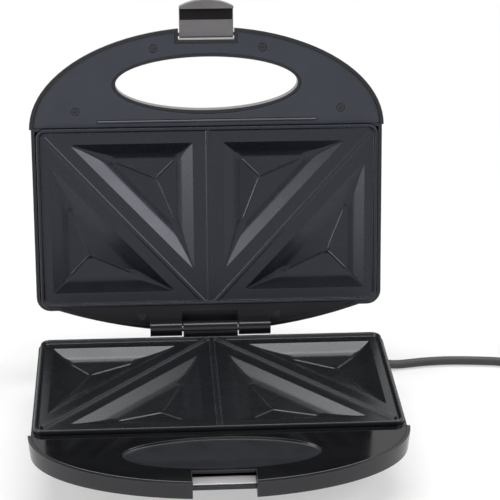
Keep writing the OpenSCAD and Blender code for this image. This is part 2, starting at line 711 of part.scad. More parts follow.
module upper_casing() {
    color("#2c2d31") swing() flip() difference() {
        union() {
            difference() {
                casing_shell(upper_half, upper_handle_half, upper_reach, upper_bulge,
                    upper_back_radius, upper_depth);
                tray_hollow(upper_handle_half, upper_reach, 0) difference() {
                    handle_outline(upper_handle_half, upper_reach, casing_wall, casing_wall);
                    upper_notch(casing_wall);
                    grip_oval(0.6 + casing_wall);
                }
                // walls inside the handle stop under or level with its cover
                translate([0, 0, -cover_top]) linear_extrude(30)
                    handle_outline(upper_handle_half, upper_reach, casing_wall, -0.3);
                translate([0, 0, -cover_top - cover_thickness - fit_gap])
                    linear_extrude(30) difference() {
                        handle_outline(upper_handle_half, upper_reach, casing_wall, -0.3);
                        upper_notch(casing_wall);
                        grip_oval(grip_ring - cover_gap);
                    }
                // ring of the finger opening, a little below the face of the cover
                translate([0, 0, -cover_top - grip_ring_drop]) linear_extrude(30)
                    grip_oval(grip_ring);
            }
            plate_screw_posts(upper_depth);
            rear_ledge(upper_half, upper_bulge, upper_back_radius, -cover_top);
            for (p = cover_posts) translate([p[0], p[1], -rim_bottom + handle_lift])
                cylinder(r = post_radius,
                    h = rim_bottom - handle_lift - cover_top - cover_thickness - fit_gap);
            for (x = [-1, 1]) translate([x * hinge_screw_x, hinge_screw_y, -cover_top - 8])
                cylinder(r = 3.4, h = 7);
            // walls that close the recess of the middle knuckle off from the inside
            intersection() {
                translate([-knuckle_room, 3, -knuckle_room_depth - 1.5])
                    cube([2 * knuckle_room, 30, knuckle_room_depth + 1.5 - cover_top]);
                translate([0, 0, -upper_depth]) linear_extrude(upper_depth)
                    casing_outline(upper_half, upper_bulge, upper_back_radius, 3);
            }
        }
        linear_extrude(200, center = true) upper_notch();
        linear_extrude(200, center = true) grip_oval(0);
        plate_screw_bores(upper_depth);
        for (p = cover_posts) translate([p[0], p[1], -rim_bottom + handle_lift + 1.6])
            cylinder(r = screw_radius + 0.03, h = rim_bottom);
        for (x = [-1, 1]) translate([x * hinge_screw_x, hinge_screw_y, -cover_top]) {
            translate([0, 0, -7]) cylinder(r = screw_radius + 0.03, h = 8);
            translate([0, 0, -1.8]) cylinder(r = screw_head + 0.3, h = 3);
        }
        // room for the middle knuckle
        translate([-lid_knuckle_from, 4.6, -knuckle_room_depth])
            cube([2 * lid_knuckle_from, 30, knuckle_room_depth + 3]);
        latch_axis() cylinder(r = latch_pin_radius + 0.02, h = 2 * upper_notch_half + 3.4,
            center = true);
        floor_lens_bores();
    }
    color("#2c2d31") swing() both_sides() difference() {
        knuckle(lid_knuckle_from, lid_knuckle_to, -hinge_drop, rim_drop + 2,
            hinge_back + knuckle_radius, hinge_back - knuckle_radius);
        hinge_bore(lid_knuckle_from, lid_knuckle_to, hinge_pin_radius + run_gap);
    }
}

module lower_handle_cover() {
    top = -rim_drop;
    color("#141416") stand() difference() {
        union() {
            translate([0, 0, top - cover_thickness]) linear_extrude(cover_thickness)
                difference() {
                    handle_outline(lower_handle_half, lower_reach, casing_wall + cover_gap, -0.2);
                    lower_notch();
                }
            translate([0, 0, top - dish_depth - bowl_wall])
                linear_extrude(dish_depth + bowl_wall - 0.5) dish_oval(bowl_wall);
            // short wall behind the bright strip
            translate([-lower_notch_half - 0.6, -strip_back + 0.02, -shelf_top + fit_gap])
                cube([2 * lower_notch_half + 1.2, 1.4, shelf_top - rim_drop - 1]);
            for (p = cover_posts) translate([p[0], p[1], -peg_end])
                cylinder(r = post_radius - 0.6, h = peg_end - rim_drop - 1);
        }
        translate([0, 0, top - dish_depth]) linear_extrude(dish_depth + over) dish_oval(0);
        for (p = cover_posts) translate([p[0], p[1], -peg_end - over])
            cylinder(r = screw_radius + 0.03, h = peg_end - rim_drop - 0.8 + over);
    }
}

module upper_handle_cover() {
    color("#4a4952") swing() flip() difference() {
        translate([0, 0, -cover_top - cover_thickness]) linear_extrude(cover_thickness)
            difference() {
                handle_outline(upper_handle_half, upper_reach, casing_wall + cover_gap, -0.2);
                upper_notch(casing_wall + cover_gap);
                grip_oval(grip_ring);
            }
        translate([-groove_length / 2, -shoulder - 4.4, -cover_top - 1.1])
            cube([groove_length, groove_width, 3]);
        for (p = cover_posts) translate([p[0], p[1], -cover_top - cover_thickness - over]) {
            cylinder(r = screw_radius + 0.3, h = 5);
            translate([0, 0, over + 0.3]) cylinder(r = screw_head + 0.3, h = 5);
        }
    }
}

module catch_strip() {
    color("#b2afb2") stand()
        translate([-lower_notch_half + 0.1, -shelf_front + strip_setback, -shelf_top + 0.02])
            cube([2 * lower_notch_half - 0.2, strip_depth - strip_setback - 0.1,
                strip_thickness]);
}

module lower_plate() color("#1c1e21") stand() cooking_plate();
module upper_plate() color("#383c42") swing() flip() cooking_plate();
module lower_element() color("#8d8f92") stand() element_tube();
module upper_element() color("#8d8f92") swing() flip() element_tube();
module lower_reflector() color("#b9bcc0") stand() reflector_tray();
module upper_reflector() color("#b9bcc0") swing() flip() reflector_tray();
module lower_plate_screws() color("#9a9c9f") stand() plate_screws();
module upper_plate_screws() color("#9a9c9f") swing() flip() plate_screws();

module lower_cover_screws() {
    color("#9a9c9f") stand() for (p = cover_posts)
        translate([p[0], p[1], -peg_end - 4.45]) screw(5.6);
}

module upper_cover_screws() {
    color("#9a9c9f") swing() for (p = cover_posts)
        translate([p[0], p[1], cover_top + 0.05]) screw(4.9);
}

module hinge_side_screws() {
    color("#9a9c9f") swing() for (x = [-1, 1])
        translate([x * hinge_screw_x, hinge_screw_y, cover_top + 0.12]) screw(4.6);
}

module feet() {
    foot_height = seam_height - lower_depth + 0.8 - 0.05;
    color("#3b3b3d") for (p = foot_places)
        translate([p[0], middle_y + p[1], 0]) difference() {
            union() {
                cylinder(r = foot_radius - 1, h = foot_height);
                translate([0, 0, 1]) cylinder(r = foot_radius, h = foot_height - 1);
            }
            translate([0, 0, -over]) cylinder(r = 2, h = over + 1.2);
        }
}

module hinge_pins() {
    color("#c3c5c8") stand() both_sides()
        translate([5, hinge_back, -hinge_drop]) rotate([0, 90, 0])
            cylinder(r = hinge_pin_radius, h = lid_knuckle_to - 5);
}

// ---------- inside the casings ----------

module thermal_fuse() {
    color("#d9d6cc") stand() translate([0, -68, flat_bottom - 2.7]) rotate([-90, 0, 0]) {
        cylinder(r = 2.6, h = 14);
        translate([0, 0, -6]) cylinder(r = 0.6, h = 26);
    }
}

thermostat_height = 8;
blade_length = 4;
module thermostat() {
    color("#c9c3b4") swing() translate([0, -plate_depth / 2 - 2, -flat_bottom + 0.05]) {
        cylinder(r = 6.6, h = thermostat_height);
        translate([0, 0, thermostat_height]) cylinder(r = 4, h = 1.6);
        both_sides() translate([3, -1.5, thermostat_height]) cube([0.8, 3, blade_length]);
    }
}

block_x = 60;
block_y = -20;
module terminal_block() {
    color("#e6e2d6") stand()
        translate([block_x, block_y, -lower_depth + casing_wall + fit_gap]) difference() {
            translate([-13, -7, 0]) cube([26, 14, 9]);
            for (x = [-8, 0, 8]) translate([x, 0, 4.5]) rotate([90, 0, 0])
                cylinder(r = 1.5, h = 16, center = true);
            for (x = [-8, 0, 8], y = [-4, 4]) translate([x, y, 5]) cylinder(r = 1.7, h = 5);
        }
}

// Where the cord leaves: on the casing's back, turned towards the right
gland_x = 72;
gland_y = lower_bulge - 9.8;
gland_heading = 25;
gland_level = -29;
gland_collar = 11.8;
module gland_place() {
    translate([gland_x, gland_y, gland_level])
        rotate([0, 90, gland_heading]) children();
}

clamp_x = 38;
clamp_y = -13;
clamp_height = 8.9;
inner_floor = -lower_depth + casing_wall + fit_gap;
module cord_clamp() {
    color("#3a3b3e") stand() translate([clamp_x, clamp_y, inner_floor])
        rotate(gland_heading) difference() {
            translate([-3.5, -9.5, 0]) cube([7, 19, clamp_height]);
            translate([-5, -3.2, 1]) cube([10, 6.4, cord_diameter + 0.1]);
            for (y = [-6.4, 6.4]) translate([0, y, clamp_height - 5.5]) {
                cylinder(r = screw_radius + 0.03, h = 10);
                translate([0, 0, 5.5 - 1.65]) cylinder(r = screw_head + 0.1, h = 4);
            }
        }
}

module clamp_screws() {
    color("#9a9c9f") stand() translate([clamp_x, clamp_y, inner_floor + clamp_height])
        rotate(gland_heading) for (y = [-6.4, 6.4])
            flip() translate([0, y, 0]) screw(3.2);
}

// ---------- cord and leads ----------

// Smooth curve through route points, with steps rings between neighbours
function curve_between(a, b, c, d, t) = 0.5 * (2 * b + (c - a) * t
    + (2 * a - 5 * b + 4 * c - d) * t * t + (3 * b - a - 3 * c + d) * t * t * t);
function curve_points(route, steps) =
    let (last = len(route) - 1)
    concat([for (i = [0 : last - 1], s = [0 : steps - 1])
            curve_between(route[max(i - 1, 0)], route[i], route[i + 1],
                route[min(i + 2, last)], s / steps)],
        [route[last]]);

// Round tube swept along points, as one closed polyhedron
module swept_tube(points, diameter, sides) {
    count = len(points);
    rings = [for (i = [0 : count - 1])
        let (ahead = unit(points[min(i + 1, count - 1)] - points[max(i - 1, 0)]),
             side = unit(cross(ahead, [0, 0, 1])),
             up = cross(side, ahead))
        for (k = [0 : sides - 1])
            points[i] + diameter / 2 * (cos(360 * k / sides) * side
                + sin(360 * k / sides) * up)];
    faces = concat(
        [[for (k = [sides - 1 : -1 : 0]) k]],
        [for (i = [0 : count - 2], k = [0 : sides - 1])
            let (n = (k + 1) % sides)
            [i * sides + k, i * sides + n, (i + 1) * sides + n, (i + 1) * sides + k]],
        [[for (k = [0 : sides - 1]) (count - 1) * sides + k]]);
    polyhedron(rings, faces, convexity = 10);
}

// Cord's route on the table, from the strain relief to the coil, as X, Y and height
relief_end = [gland_x + cos(gland_heading) * (relief_length + gland_collar),
    middle_y + gland_y + sin(gland_heading) * (relief_length + gland_collar),
    seam_height + gland_level];
cord_route = [
    relief_end,
    [108.5, 68.8, 8.9],
    [114, 69.9, 6.2],
    [120, 70.7, 4.1],
    [127, 71.8, 3.1],
    [135, 73.2, 3],
    [144, 74.6, 3],
    [153, 75.4, 3],
    [163, 75.6, 3],
    [174, 74.9, 3],
    [185, 73.8, 3],
    [196, 72, 3],
    [206, 68, 3],
    [216, 62, 3],
    [226, 56, 3],
    [236, 52, 3],
    [246, 50, 3]];
plug_route = [
    [238, 51, 9],
    [247, 50, 9],
    [256, 49.6, 9.4],
    [265, 49.4, 10.4],
    [273, 49.2, 11.6],
    [280, 49.2, 12.4]];

// Coil of unseen length beside the route's end, and the plug beyond it
coil_middle = [246, 84];
coil_radius = 34;
coil_half = cord_diameter + 0.2;
coil_height = 2 * cord_diameter + 0.4;
plug_place = [307, 49.2, 0];

module cord() color("#4b4b4e") {
    swept_tube(curve_points(cord_route, 3), cord_diameter, 10);
    swept_tube(curve_points(plug_route, 2), cord_diameter, 10);
}

module cord_coil() {
    color("#4b4b4e") translate([coil_middle[0], coil_middle[1], 0])
        rotate_extrude($fn = 64) translate([coil_radius - coil_half, 0.02]) {
            translate([2, 0]) square([2 * coil_half - 4, coil_height]);
            translate([0, 2]) square([2 * coil_half, coil_height - 4]);
            for (x = [2, 2 * coil_half - 2], y = [2, coil_height - 2])
                translate([x, y]) circle(r = 2, $fn = 24);
        }
}

module cord_tie() {
    tie_wall = 0.8;
    tie_room = 0.7;
    color("#232325") translate([coil_middle[0], coil_middle[1] + coil_radius, 0])
        difference() {
            translate([-4, -coil_half - tie_wall - tie_room, 0.1])
                cube([8, 2 * (coil_half + tie_wall + tie_room), coil_height + tie_wall + 0.3]);
            translate([-5, -coil_half - tie_room, -1])
                cube([10, 2 * (coil_half + tie_room), coil_height + 1.2]);
        }
}

relief_tail = 11;
module strain_relief() {
    color("#3f3f42") stand() gland_place() difference() {
        union() {
            translate([0, 0, -relief_tail]) cylinder(r = 4.2, h = relief_tail + gland_collar + 2);
            translate([0, 0, gland_collar + fit_gap]) cylinder(r = 5.6, h = 2);
            translate([0, 0, gland_collar + 2])
                cylinder(r1 = 4.8, r2 = cord_diameter / 2 + 0.6, h = relief_length - 2);
        }
        for (i = [0 : 2]) translate([0, 0, gland_collar + 6.5 + i * 5]) difference() {
            cylinder(r = 8, h = 1.6);
            translate([0, 0, -over]) cylinder(r = cord_diameter / 2 + 0.3, h = 4);
            translate([-10, -1.2, -over]) cube([20, 2.4, 4]);
        }
    }
}

// Two-pin plug lying on the table beyond the coil, pins away from the cord
plug_length = 30;
plug_half_width = 17;
plug_half_height = 12.5;
pin_spacing = 19;
module plug_body() {
    color("#2f2f31") translate([plug_place[0], plug_place[1], plug_half_height + 0.02]) {
        translate([-plug_length / 2, 0, 0]) rotate([0, 90, 0]) linear_extrude(plug_length)
            intersection() {
                square([2 * plug_half_height, 60], center = true);
                circle(r = plug_half_width);
            }
        translate([-plug_length / 2 - 12, 0, 0]) rotate([0, 90, 0])
            cylinder(r1 = 4, r2 = 8, h = 12);
    }
}

module plug_pins() {
    color("#c8cacd") translate([plug_place[0] + plug_length / 2, plug_place[1],
        plug_half_height + 0.02]) for (y = [-1, 1])
            translate([0, y * pin_spacing / 2, 0]) rotate([0, 90, 0]) {
                cylinder(r = 2.4, h = 17.5);
                translate([0, 0, 17.5]) cylinder(r1 = 2.4, r2 = 1.4, h = 1.5);
            }
}

module lead(route) swept_tube(curve_points(route, 2), 2.2, 8);

module lower_wiring() {
    low = -lower_depth + casing_wall + 4.7;
    side = block_y - 7.3;
    color("#b8322c") stand() {
        lead([[block_x - 8, side, low], [block_x - 9, side - 5, low],
            [42, -30, low], [28, -14, low + 1], [20, -2, low + 5],
            [terminal_x + 1, 2, element_level - 1], [terminal_x, -1, element_level],
            [terminal_x, -5.7, element_level]]);
        lead([[block_x, side, low], [block_x - 2, side - 9, low],
            [26, -50, low], [-8, -42, low], [-24, -16, low + 2], [-20, 0, low + 6],
            [-terminal_x, 1, element_level], [-terminal_x, -5.7, element_level]]);
        lead([[block_x - 8, block_y + 7.3, low], [block_x - 9, block_y + 9, low],
            [46, -9, low], [42, -9.5, low + 0.6]]);
        lead([[block_x + 8, block_y + 7.3, low], [block_x + 6, block_y + 12, low],
            [50, -5.5, low], [43, -7, low + 0.6]]);
    }
}

module upper_wiring() {
    high = upper_depth - casing_wall - 4;
    blade_top = -flat_bottom + thermostat_height + blade_length + 0.35;
    color("#b8322c") swing() {
        lead([[terminal_x, -5.7, -element_level], [terminal_x, -1, -element_level],
            [terminal_x + 3, 2, high - 9], [22, -10, high], [20, -34, high],
            [12, -52, high - 3], [4, -60, high - 10], [3.4, -61, blade_top]]);
        lead([[-terminal_x, -5.7, -element_level], [-terminal_x, -1, -element_level],
            [-terminal_x - 3, 2, high - 9], [-24, -14, high], [-22, -60, high],
            [-16, -84, high - 3], [-lens_x, lens_y + 2, high - 7],
            [-lens_x, lens_y, upper_depth - casing_wall - 7.3]]);
    }
}

// ---------- indicator lights on the lid ----------

lens_x = 14;
lens_y = -plate_depth + 20;
module floor_lens_bores() {
    for (x = [-lens_x, lens_x]) translate([x, lens_y, -upper_depth - over])
        cylinder(r = lens_radius + 0.1, h = 6);
}

module lens() {
    translate([0, 0, upper_depth - casing_wall - 1]) {
        cylinder(r = lens_radius, h = casing_wall + 1.6);
        translate([0, 0, casing_wall + 1.05]) cylinder(r = lens_radius + 0.9, h = 0.9);
    }
}
module power_lens() color("#b3241d") swing() translate([-lens_x, lens_y, 0]) lens();
module ready_lens() color("#2c8a3c") swing() translate([lens_x, lens_y, 0]) lens();
module indicator_lamps() {
    color("#e8c9a0") swing() for (x = [-lens_x, lens_x])
        translate([x, lens_y, upper_depth - casing_wall - 7]) cylinder(r = 2.4, h = 5.9);
}

// ---------- latch ----------

module latch_axis() {
    translate([0, -latch_pivot, -latch_pivot_height]) rotate([0, 90, 0]) children();
}

// Outline of the latch from above, straight ahead of its pivot, with an arched end
module latch_outline(from_y, side_end, arch) {
    arch_radius = (pow(latch_half, 2) + pow(arch, 2)) / (2 * arch);
    intersection() {
        translate([-latch_half, -side_end - arch]) square([latch_width, side_end + arch - from_y]);
        translate([0, -side_end - arch + arch_radius]) circle(r = arch_radius, $fn = 120);
    }
}

module latch() {
    end_arch = nose_thickness - end_side;
    plate_low = -plate_offset;
    color("#a5a3a5") swing() translate([0, -latch_pivot, latch_pivot_height]) difference() {
        union() {
            rotate([0, 90, 0]) cylinder(r = barrel_radius, h = latch_width, center = true);
            // plate and nose
            translate([0, 0, plate_low]) linear_extrude(latch_thickness)
                latch_outline(0.6, latch_reach + end_side, end_arch);
            translate([0, 0, plate_low - nose_length])
                linear_extrude(nose_length + latch_thickness)
                    intersection() {
                        latch_outline(0.6, latch_reach + end_side, end_arch);
                        translate([-latch_half, -latch_reach - 20])
                            square([latch_width, 20]);
                    }
        }
        rotate([0, 90, 0])
            cylinder(r = latch_pin_radius + run_gap, h = latch_width + 2, center = true);
        // seat of the dark insert
        translate([-latch_half + 0.5, -latch_reach + 0.3, plate_low - over])
            cube([latch_width - 1, insert_depth, over + 0.5]);
    }
}

insert_depth = 7.2;
module latch_insert() {
    color("#1b1b1d") swing() translate([0, -latch_pivot, latch_pivot_height])
        translate([-latch_half + 0.55, -latch_reach + 0.35, -plate_offset - 0.1])
            cube([latch_width - 1.1, insert_depth - 0.1, 0.55]);
}

module latch_pin() {
    color("#c3c5c8") swing() flip() latch_axis()
        cylinder(r = latch_pin_radius, h = 2 * upper_notch_half + 3, center = true);
}

lower_casing();
lower_handle_cover();
catch_strip();
lower_plate();
lower_element();
lower_reflector();
lower_plate_screws();
lower_cover_screws();
feet();
hinge_pins();
thermal_fuse();
terminal_block();
cord_clamp();
clamp_screws();
lower_wiring();
strain_relief();
cord();
cord_coil();
cord_tie();
plug_body();
plug_pins();
upper_casing();
upper_handle_cover();
upper_plate();
upper_element();
upper_reflector();
upper_plate_screws();
upper_cover_screws();
hinge_side_screws();
thermostat();
upper_wiring();
power_lens();
ready_lens();
indicator_lamps();
latch();
latch_insert();
latch_pin();
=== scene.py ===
"""Sandwich toaster with its lid open: the finished look of the CAD model in the frame."""

import json
import math

import bmesh
import bpy
from mathutils import Matrix, Vector
from mathutils.geometry import tessellate_polygon


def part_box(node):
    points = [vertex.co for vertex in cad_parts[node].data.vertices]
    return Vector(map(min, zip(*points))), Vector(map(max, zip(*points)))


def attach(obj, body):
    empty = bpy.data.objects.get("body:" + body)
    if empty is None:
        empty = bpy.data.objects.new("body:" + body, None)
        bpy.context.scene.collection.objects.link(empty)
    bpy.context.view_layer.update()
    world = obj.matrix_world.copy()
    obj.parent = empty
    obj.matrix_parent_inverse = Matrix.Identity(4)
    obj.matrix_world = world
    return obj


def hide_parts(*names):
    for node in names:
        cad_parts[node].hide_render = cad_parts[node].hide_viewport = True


bl_info = {
    "name": "Sandwich Toaster",
    "version": (1, 0, 0),
    "blender": (4, 5, 0),
    "location": "3D View > Sidebar > Toaster",
    "description": "Builds the finished surfaces of a sandwich toaster with split pockets",
    "category": "Object",
}

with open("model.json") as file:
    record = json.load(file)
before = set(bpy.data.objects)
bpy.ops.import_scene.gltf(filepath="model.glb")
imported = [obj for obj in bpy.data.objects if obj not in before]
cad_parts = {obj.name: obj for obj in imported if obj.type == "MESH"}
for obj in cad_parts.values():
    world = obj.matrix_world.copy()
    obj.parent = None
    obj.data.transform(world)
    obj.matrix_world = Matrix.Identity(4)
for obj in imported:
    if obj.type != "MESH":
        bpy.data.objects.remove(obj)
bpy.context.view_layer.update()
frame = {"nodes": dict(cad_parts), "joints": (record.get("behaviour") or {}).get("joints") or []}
NODES = frame["nodes"]
MM = 0.001

# The plates' hinge-side edge and the height at which they meet, from the packed plate
PLATE_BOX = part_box("lower_plate")
LIP_GAP = 0.15 * MM
PLATE_BACK = PLATE_BOX[1].y
SEAM = PLATE_BOX[1].z + LIP_GAP
LID_HINGE = next(j for j in frame["joints"] if j["name"] == "lid_hinge")
HINGE = Vector(LID_HINGE["pos_m"])
OPEN_ANGLE = math.radians(LID_HINGE["range_deg"][1])


# -------------------- settings

def amount(name, description, default, **more):
    return bpy.props.FloatProperty(
        name=name, description=description, default=default, min=0.0, **more)


def length(name, description, default):
    return amount(name, description, default, precision=5, subtype="DISTANCE", unit="LENGTH")


def share(name, description, default):
    return amount(name, description, default, max=1.0, subtype="FACTOR")


def colour(name, description, default):
    return bpy.props.FloatVectorProperty(
        name=name, description=description, default=default, min=0.0, max=1.0,
        size=3, subtype="COLOR")


class ToasterPlateSizes(bpy.types.PropertyGroup):
    """Sizes of the two cooking plates"""

    width: length("Width", "Width of a cooking plate", 0.220)
    depth: length("Depth", "Depth of a cooking plate, front to back", 0.118)
    corner: length("Corner", "Radius of the plate's corners", 0.006)
    wall: length("Wall", "Thickness of the cast plate", 0.0025)
    lip_height: length("Lip height", "Height of the sealing lip above the flat", 0.002)
    lip_width: length("Lip width", "Width of the sealing lip", 0.0022)
    skirt: length("Skirt", "Reach of the outer edge below the lip", 0.0061)
    rib_width: length("Rib width", "Width of a dividing rib at its foot", 0.0034)
    rib_height: length("Rib height", "Height of the lower plate's dividing ribs", 0.00195)
    lid_rib_height: length("Lid rib height", "Height of the lid plate's shallow ribs", 0.0004)
    pocket_width: length("Pocket width", "Short side of a pocket", 0.077)
    pocket_length: length("Pocket length", "Long side of a pocket", 0.082)
    pocket_middle: length("Pocket gap", "From the plate's middle to a pocket", 0.0105)
    pocket_margin: length("Margin", "Flat left round the pockets", 0.010)
    pocket_slope: length("Wall width", "Width of a pocket's wall and its foot", 0.0102)
    pocket_turn: length("Foot", "Width of the leaning foot of the wall", 0.0034)
    wall_turn: length("Turn", "Width of the turns above and below the foot", 0.0026)
    wall_slope: amount("Wall slope", "Fall of the wall per length", 0.577)
    foot_slope: amount("Foot slope", "Fall of the foot per length", 0.36)
    pocket_round: length("Foot corner", "Radius of the corners along the foot", 0.0035)
    pocket_side: length("Wall depth", "Nominal depth at the foot of the wall", 0.0047)
    pocket_edge: length("Edge", "Radius of a pocket's corners in plan", 0.0007)
    pocket_grow: length("Mouth", "Reach of the mouth past its drawn line", 0.0006)
    pocket_depth: length("Pocket depth", "Nominal depth at the middle of a pocket", 0.0066)
    crease: length("Crease", "Radius of the creases in a pocket's floor", 0.0012)
    bead_width: length("Bead width", "Half width of the raised line on a crease", 0.00085)
    bead_height: length("Bead height", "Height of the raised line on a crease", 0.0005)


class ToasterHandleSizes(bpy.types.PropertyGroup):
    """Sizes of the lower handle's glossy deck"""

    half_width: length("Half width", "Half width of the lower handle", 0.113)
    reach: length("Reach", "From the plates' hinge-side edge to the handle's front", 0.1777)
    root: length("Root", "Where the handle's curve is widest", 0.117)
    rim_wall: length("Rim wall", "Thickness of the rim round the deck", 0.0022)
    gap: length("Joint gap", "Gap between the deck and the rim", 0.00025)
    drop: length("Drop", "Depth of the deck below the meeting plane", 0.0032)
    thickness: length("Thickness", "Thickness of the deck", 0.002)
    notch_half: length("Notch", "Half width of the latch notch", 0.0182)
    notch_back: length("Notch depth", "Distance of the notch's inner edge", 0.1626)
    dish_half_length: length("Dish length", "Half length of the finger dish", 0.0576)
    dish_half_width: length("Dish width", "Half width of the finger dish", 0.0179)
    dish_middle: length("Dish place", "Distance of the dish's middle", 0.1432)
    dish_depth: length("Dish depth", "Depth of the finger dish", 0.0014)
    dish_fold: length("Dish fold", "From the dish's middle to where its floor rises", 0.0045)
    dish_rise: length("Dish rise", "Rise of the floor to the near edge", 0.0009)
    bar_half: length("Bar length", "Half length of the bar in the cover's groove", 0.0705)
    bar_radius: length("Bar radius", "Radius of the bar in the cover's groove", 0.00055)
    bar_place: length("Bar place", "Distance of the bar from the plates' edge", 0.1218)
    bar_lift: length("Bar lift", "Height of the bar above the meeting plane", 0.00445)


class ToasterCordSizes(bpy.types.PropertyGroup):
    """Sizes of the mains cord and of its coil"""

    diameter: length("Diameter", "Diameter of the mains cord", 0.0058)
    inner_turn: length("Inner turn", "Radius of the coil's inner turns", 0.0311)
    outer_turn: length("Outer turn", "Radius of the coil's outer turns", 0.0371)
    low: length("Lower layer", "Height of the lower turns' middle", 0.003)
    high: length("Upper layer", "Height of the upper turns' middle", 0.009)


class ToasterFinishes(bpy.types.PropertyGroup):
    """Colours of the finishes"""

    casing: colour("Casing", "Satin moulded casing", (0.0095, 0.0098, 0.0125))
    cover: colour("Lid cover", "Lid handle's cover", (0.024, 0.027, 0.041))
    # The groove bar's pale tone is a painted highlight line along the cover's groove
    groove_highlight: colour("Groove bar", "Bar in the lid cover's groove", (0.1, 0.1, 0.112))
    deck: colour("Deck", "Glossy deck of the lower handle", (0.0045, 0.0046, 0.0052))
    dish: colour("Dish", "Satin floor of the finger dish", (0.011, 0.012, 0.015))
    coating: colour("Coating", "Non-stick coating of the lower plate", (0.0056, 0.0062, 0.0072))
    # The lid's copy of the one non-stick coating, drawn lighter and bluer: painted light on the
    # lid's face
    lid_coating_painted_light: colour("Lid coating", "Non-stick coating of the lid plate",
                        (0.006, 0.0075, 0.0118))
    latch: colour("Latch", "Silver lacquer of the latch", (0.165, 0.156, 0.163))
    strip: colour("Strip", "Bright strip that the latch hooks under", (0.62, 0.60, 0.62))
    rubber: colour("Cord", "Cord, relief and plug", (0.034, 0.034, 0.037))
    foot: colour("Feet", "Rubber feet", (0.03, 0.03, 0.032))
    steel: colour("Steel", "Screws and pins", (0.42, 0.42, 0.43))
    dark_steel: colour("Dark screws", "Blackened cover screws", (0.05, 0.05, 0.055))


class ToasterStudio(bpy.types.PropertyGroup):
    """Light of the studio"""

    surround: amount("Surround", "Strength of the light from all round", 0.25)
    ceiling: share("Ceiling", "Brightness above the camera in reflections", 0.06)
    flags: share("Flags", "Brightness of the flags beside the camera in reflections", 0.06)
    overhead: amount("Overhead", "Power of the overhead softbox, in watts", 23.0)
    left_high: amount("Left high", "Power of the high left softbox, in watts", 3.4)
    left: amount("Left", "Power of the left softbox, in watts", 4.0)
    right: amount("Right", "Power of the right softbox, in watts", 7.0)
    floor_lift: share("Floor lift", "Share of plain white in the floor by the toaster", 0.45)


SETTINGS = {
    "toaster_plate": ToasterPlateSizes,
    "toaster_handle": ToasterHandleSizes,
    "toaster_cord": ToasterCordSizes,
    "toaster_finish": ToasterFinishes,
    "toaster_studio": ToasterStudio,
}


# -------------------- finishes

WHITE = (1.0, 1.0, 1.0)
# How far the rounded normal agrees with the true one: wholly paled edge, no edge
EDGE_TURN = (0.93, 0.998)


class NodeDesk:
    """A node tree with short ways to add nodes; each value is a number, colour or socket"""

    def __init__(self, tree):
        self.tree = tree

    def put(self, value, socket):
        if isinstance(value, bpy.types.NodeSocket):
            self.tree.links.new(value, socket)
        elif value is not None:
            socket.default_value = (*value, 1.0) if socket.type == "RGBA" else value

    def fill(self, sockets, *values):
        for value, socket in zip(values, sockets):
            self.put(value, socket)

    def add(self, kind, **sockets):
        node = self.tree.nodes.new(kind)
        for key, value in sockets.items():
            self.put(value, node.inputs[key.replace("_", " ")])
        return node

    def math(self, operation, *values, kind="ShaderNodeMath"):
        node = self.add(kind)
        node.operation = operation
        self.fill(node.inputs, *values)
        return node.outputs["Value"]

    def span(self, value, low, high, to_low, to_high):
        """Stretches a value's part from low to high"""
        return self.add("ShaderNodeMapRange", Value=value, From_Min=low, From_Max=high,
                        To_Min=to_low, To_Max=to_high).outputs["Result"]

    def blend(self, factor, first, second):
        node = self.tree.nodes.new("ShaderNodeMix")
        node.data_type = "RGBA"
        self.put(factor, node.inputs["Factor"])
        self.fill([s for s in node.inputs if s.type == "RGBA"], first, second)
        return next(s for s in node.outputs if s.type == "RGBA")

    def mix_shaders(self, factor, first, second):
        node = self.tree.nodes.new("ShaderNodeMixShader")
        self.fill(node.inputs, factor, first, second)
        return node.outputs["Shader"]


class FinishDesk(NodeDesk):
    """The node tree of a material, with its shader"""

    def __init__(self, name):
        self.material = bpy.data.materials.new(name)
        self.material.use_nodes = True
        super().__init__(self.material.node_tree)
        self.shader = next(n for n in self.tree.nodes if n.type == "BSDF_PRINCIPLED")
        self.place = self.add("ShaderNodeTexCoord").outputs["Object"]

    def noise(self, scale, detail, roughness=0.55, stretch=None):
        place = self.place
        if stretch:
            place = self.add("ShaderNodeMapping", Vector=place, Scale=stretch).outputs[0]
        return self.add("ShaderNodeTexNoise", Vector=place, Scale=scale, Detail=detail,
                        Roughness=roughness).outputs["Fac"]

    def clouds(self, scale, detail, low=0.0, high=1.0):
        """Soft patches between two values"""
        return self.span(self.noise(scale, detail), 0.3, 0.7, low, high)

    def pale_edges(self, tone, radius, rgb):
        """The tone, turning to another colour in patches along the shape's edges; on the cooking
        plates this paling is a painted highlight along the lips and ribs
        """
        rounded = self.add("ShaderNodeBevel", Radius=radius)
        rounded.samples = 4
        facing = self.add("ShaderNodeNewGeometry").outputs["Normal"]
        agree = self.math("DOT_PRODUCT", rounded.outputs["Normal"], facing,
                          kind="ShaderNodeVectorMath")
        edge = self.span(agree, *EDGE_TURN, 1.0, 0.0)
        patches = self.span(self.noise(85.0, 4.0), 0.35, 0.65, 0.45, 1.0)
        return self.blend(self.math("MULTIPLY", edge, patches), tone, rgb)

    def bump(self, height, distance, base=None):
        return self.add("ShaderNodeBump", Strength=1.0, Distance=distance, Height=height,
                        Normal=base).outputs["Normal"]

    def finish(self, **sockets):
        """Sets the shader's own sockets, and gives the material"""
        for key, value in sockets.items():
            self.put(value, self.shader.inputs[key.replace("_", " ")])
        return self.material


def scaled(rgb, factor):
    return tuple(min(1.0, c * factor) for c in rgb)


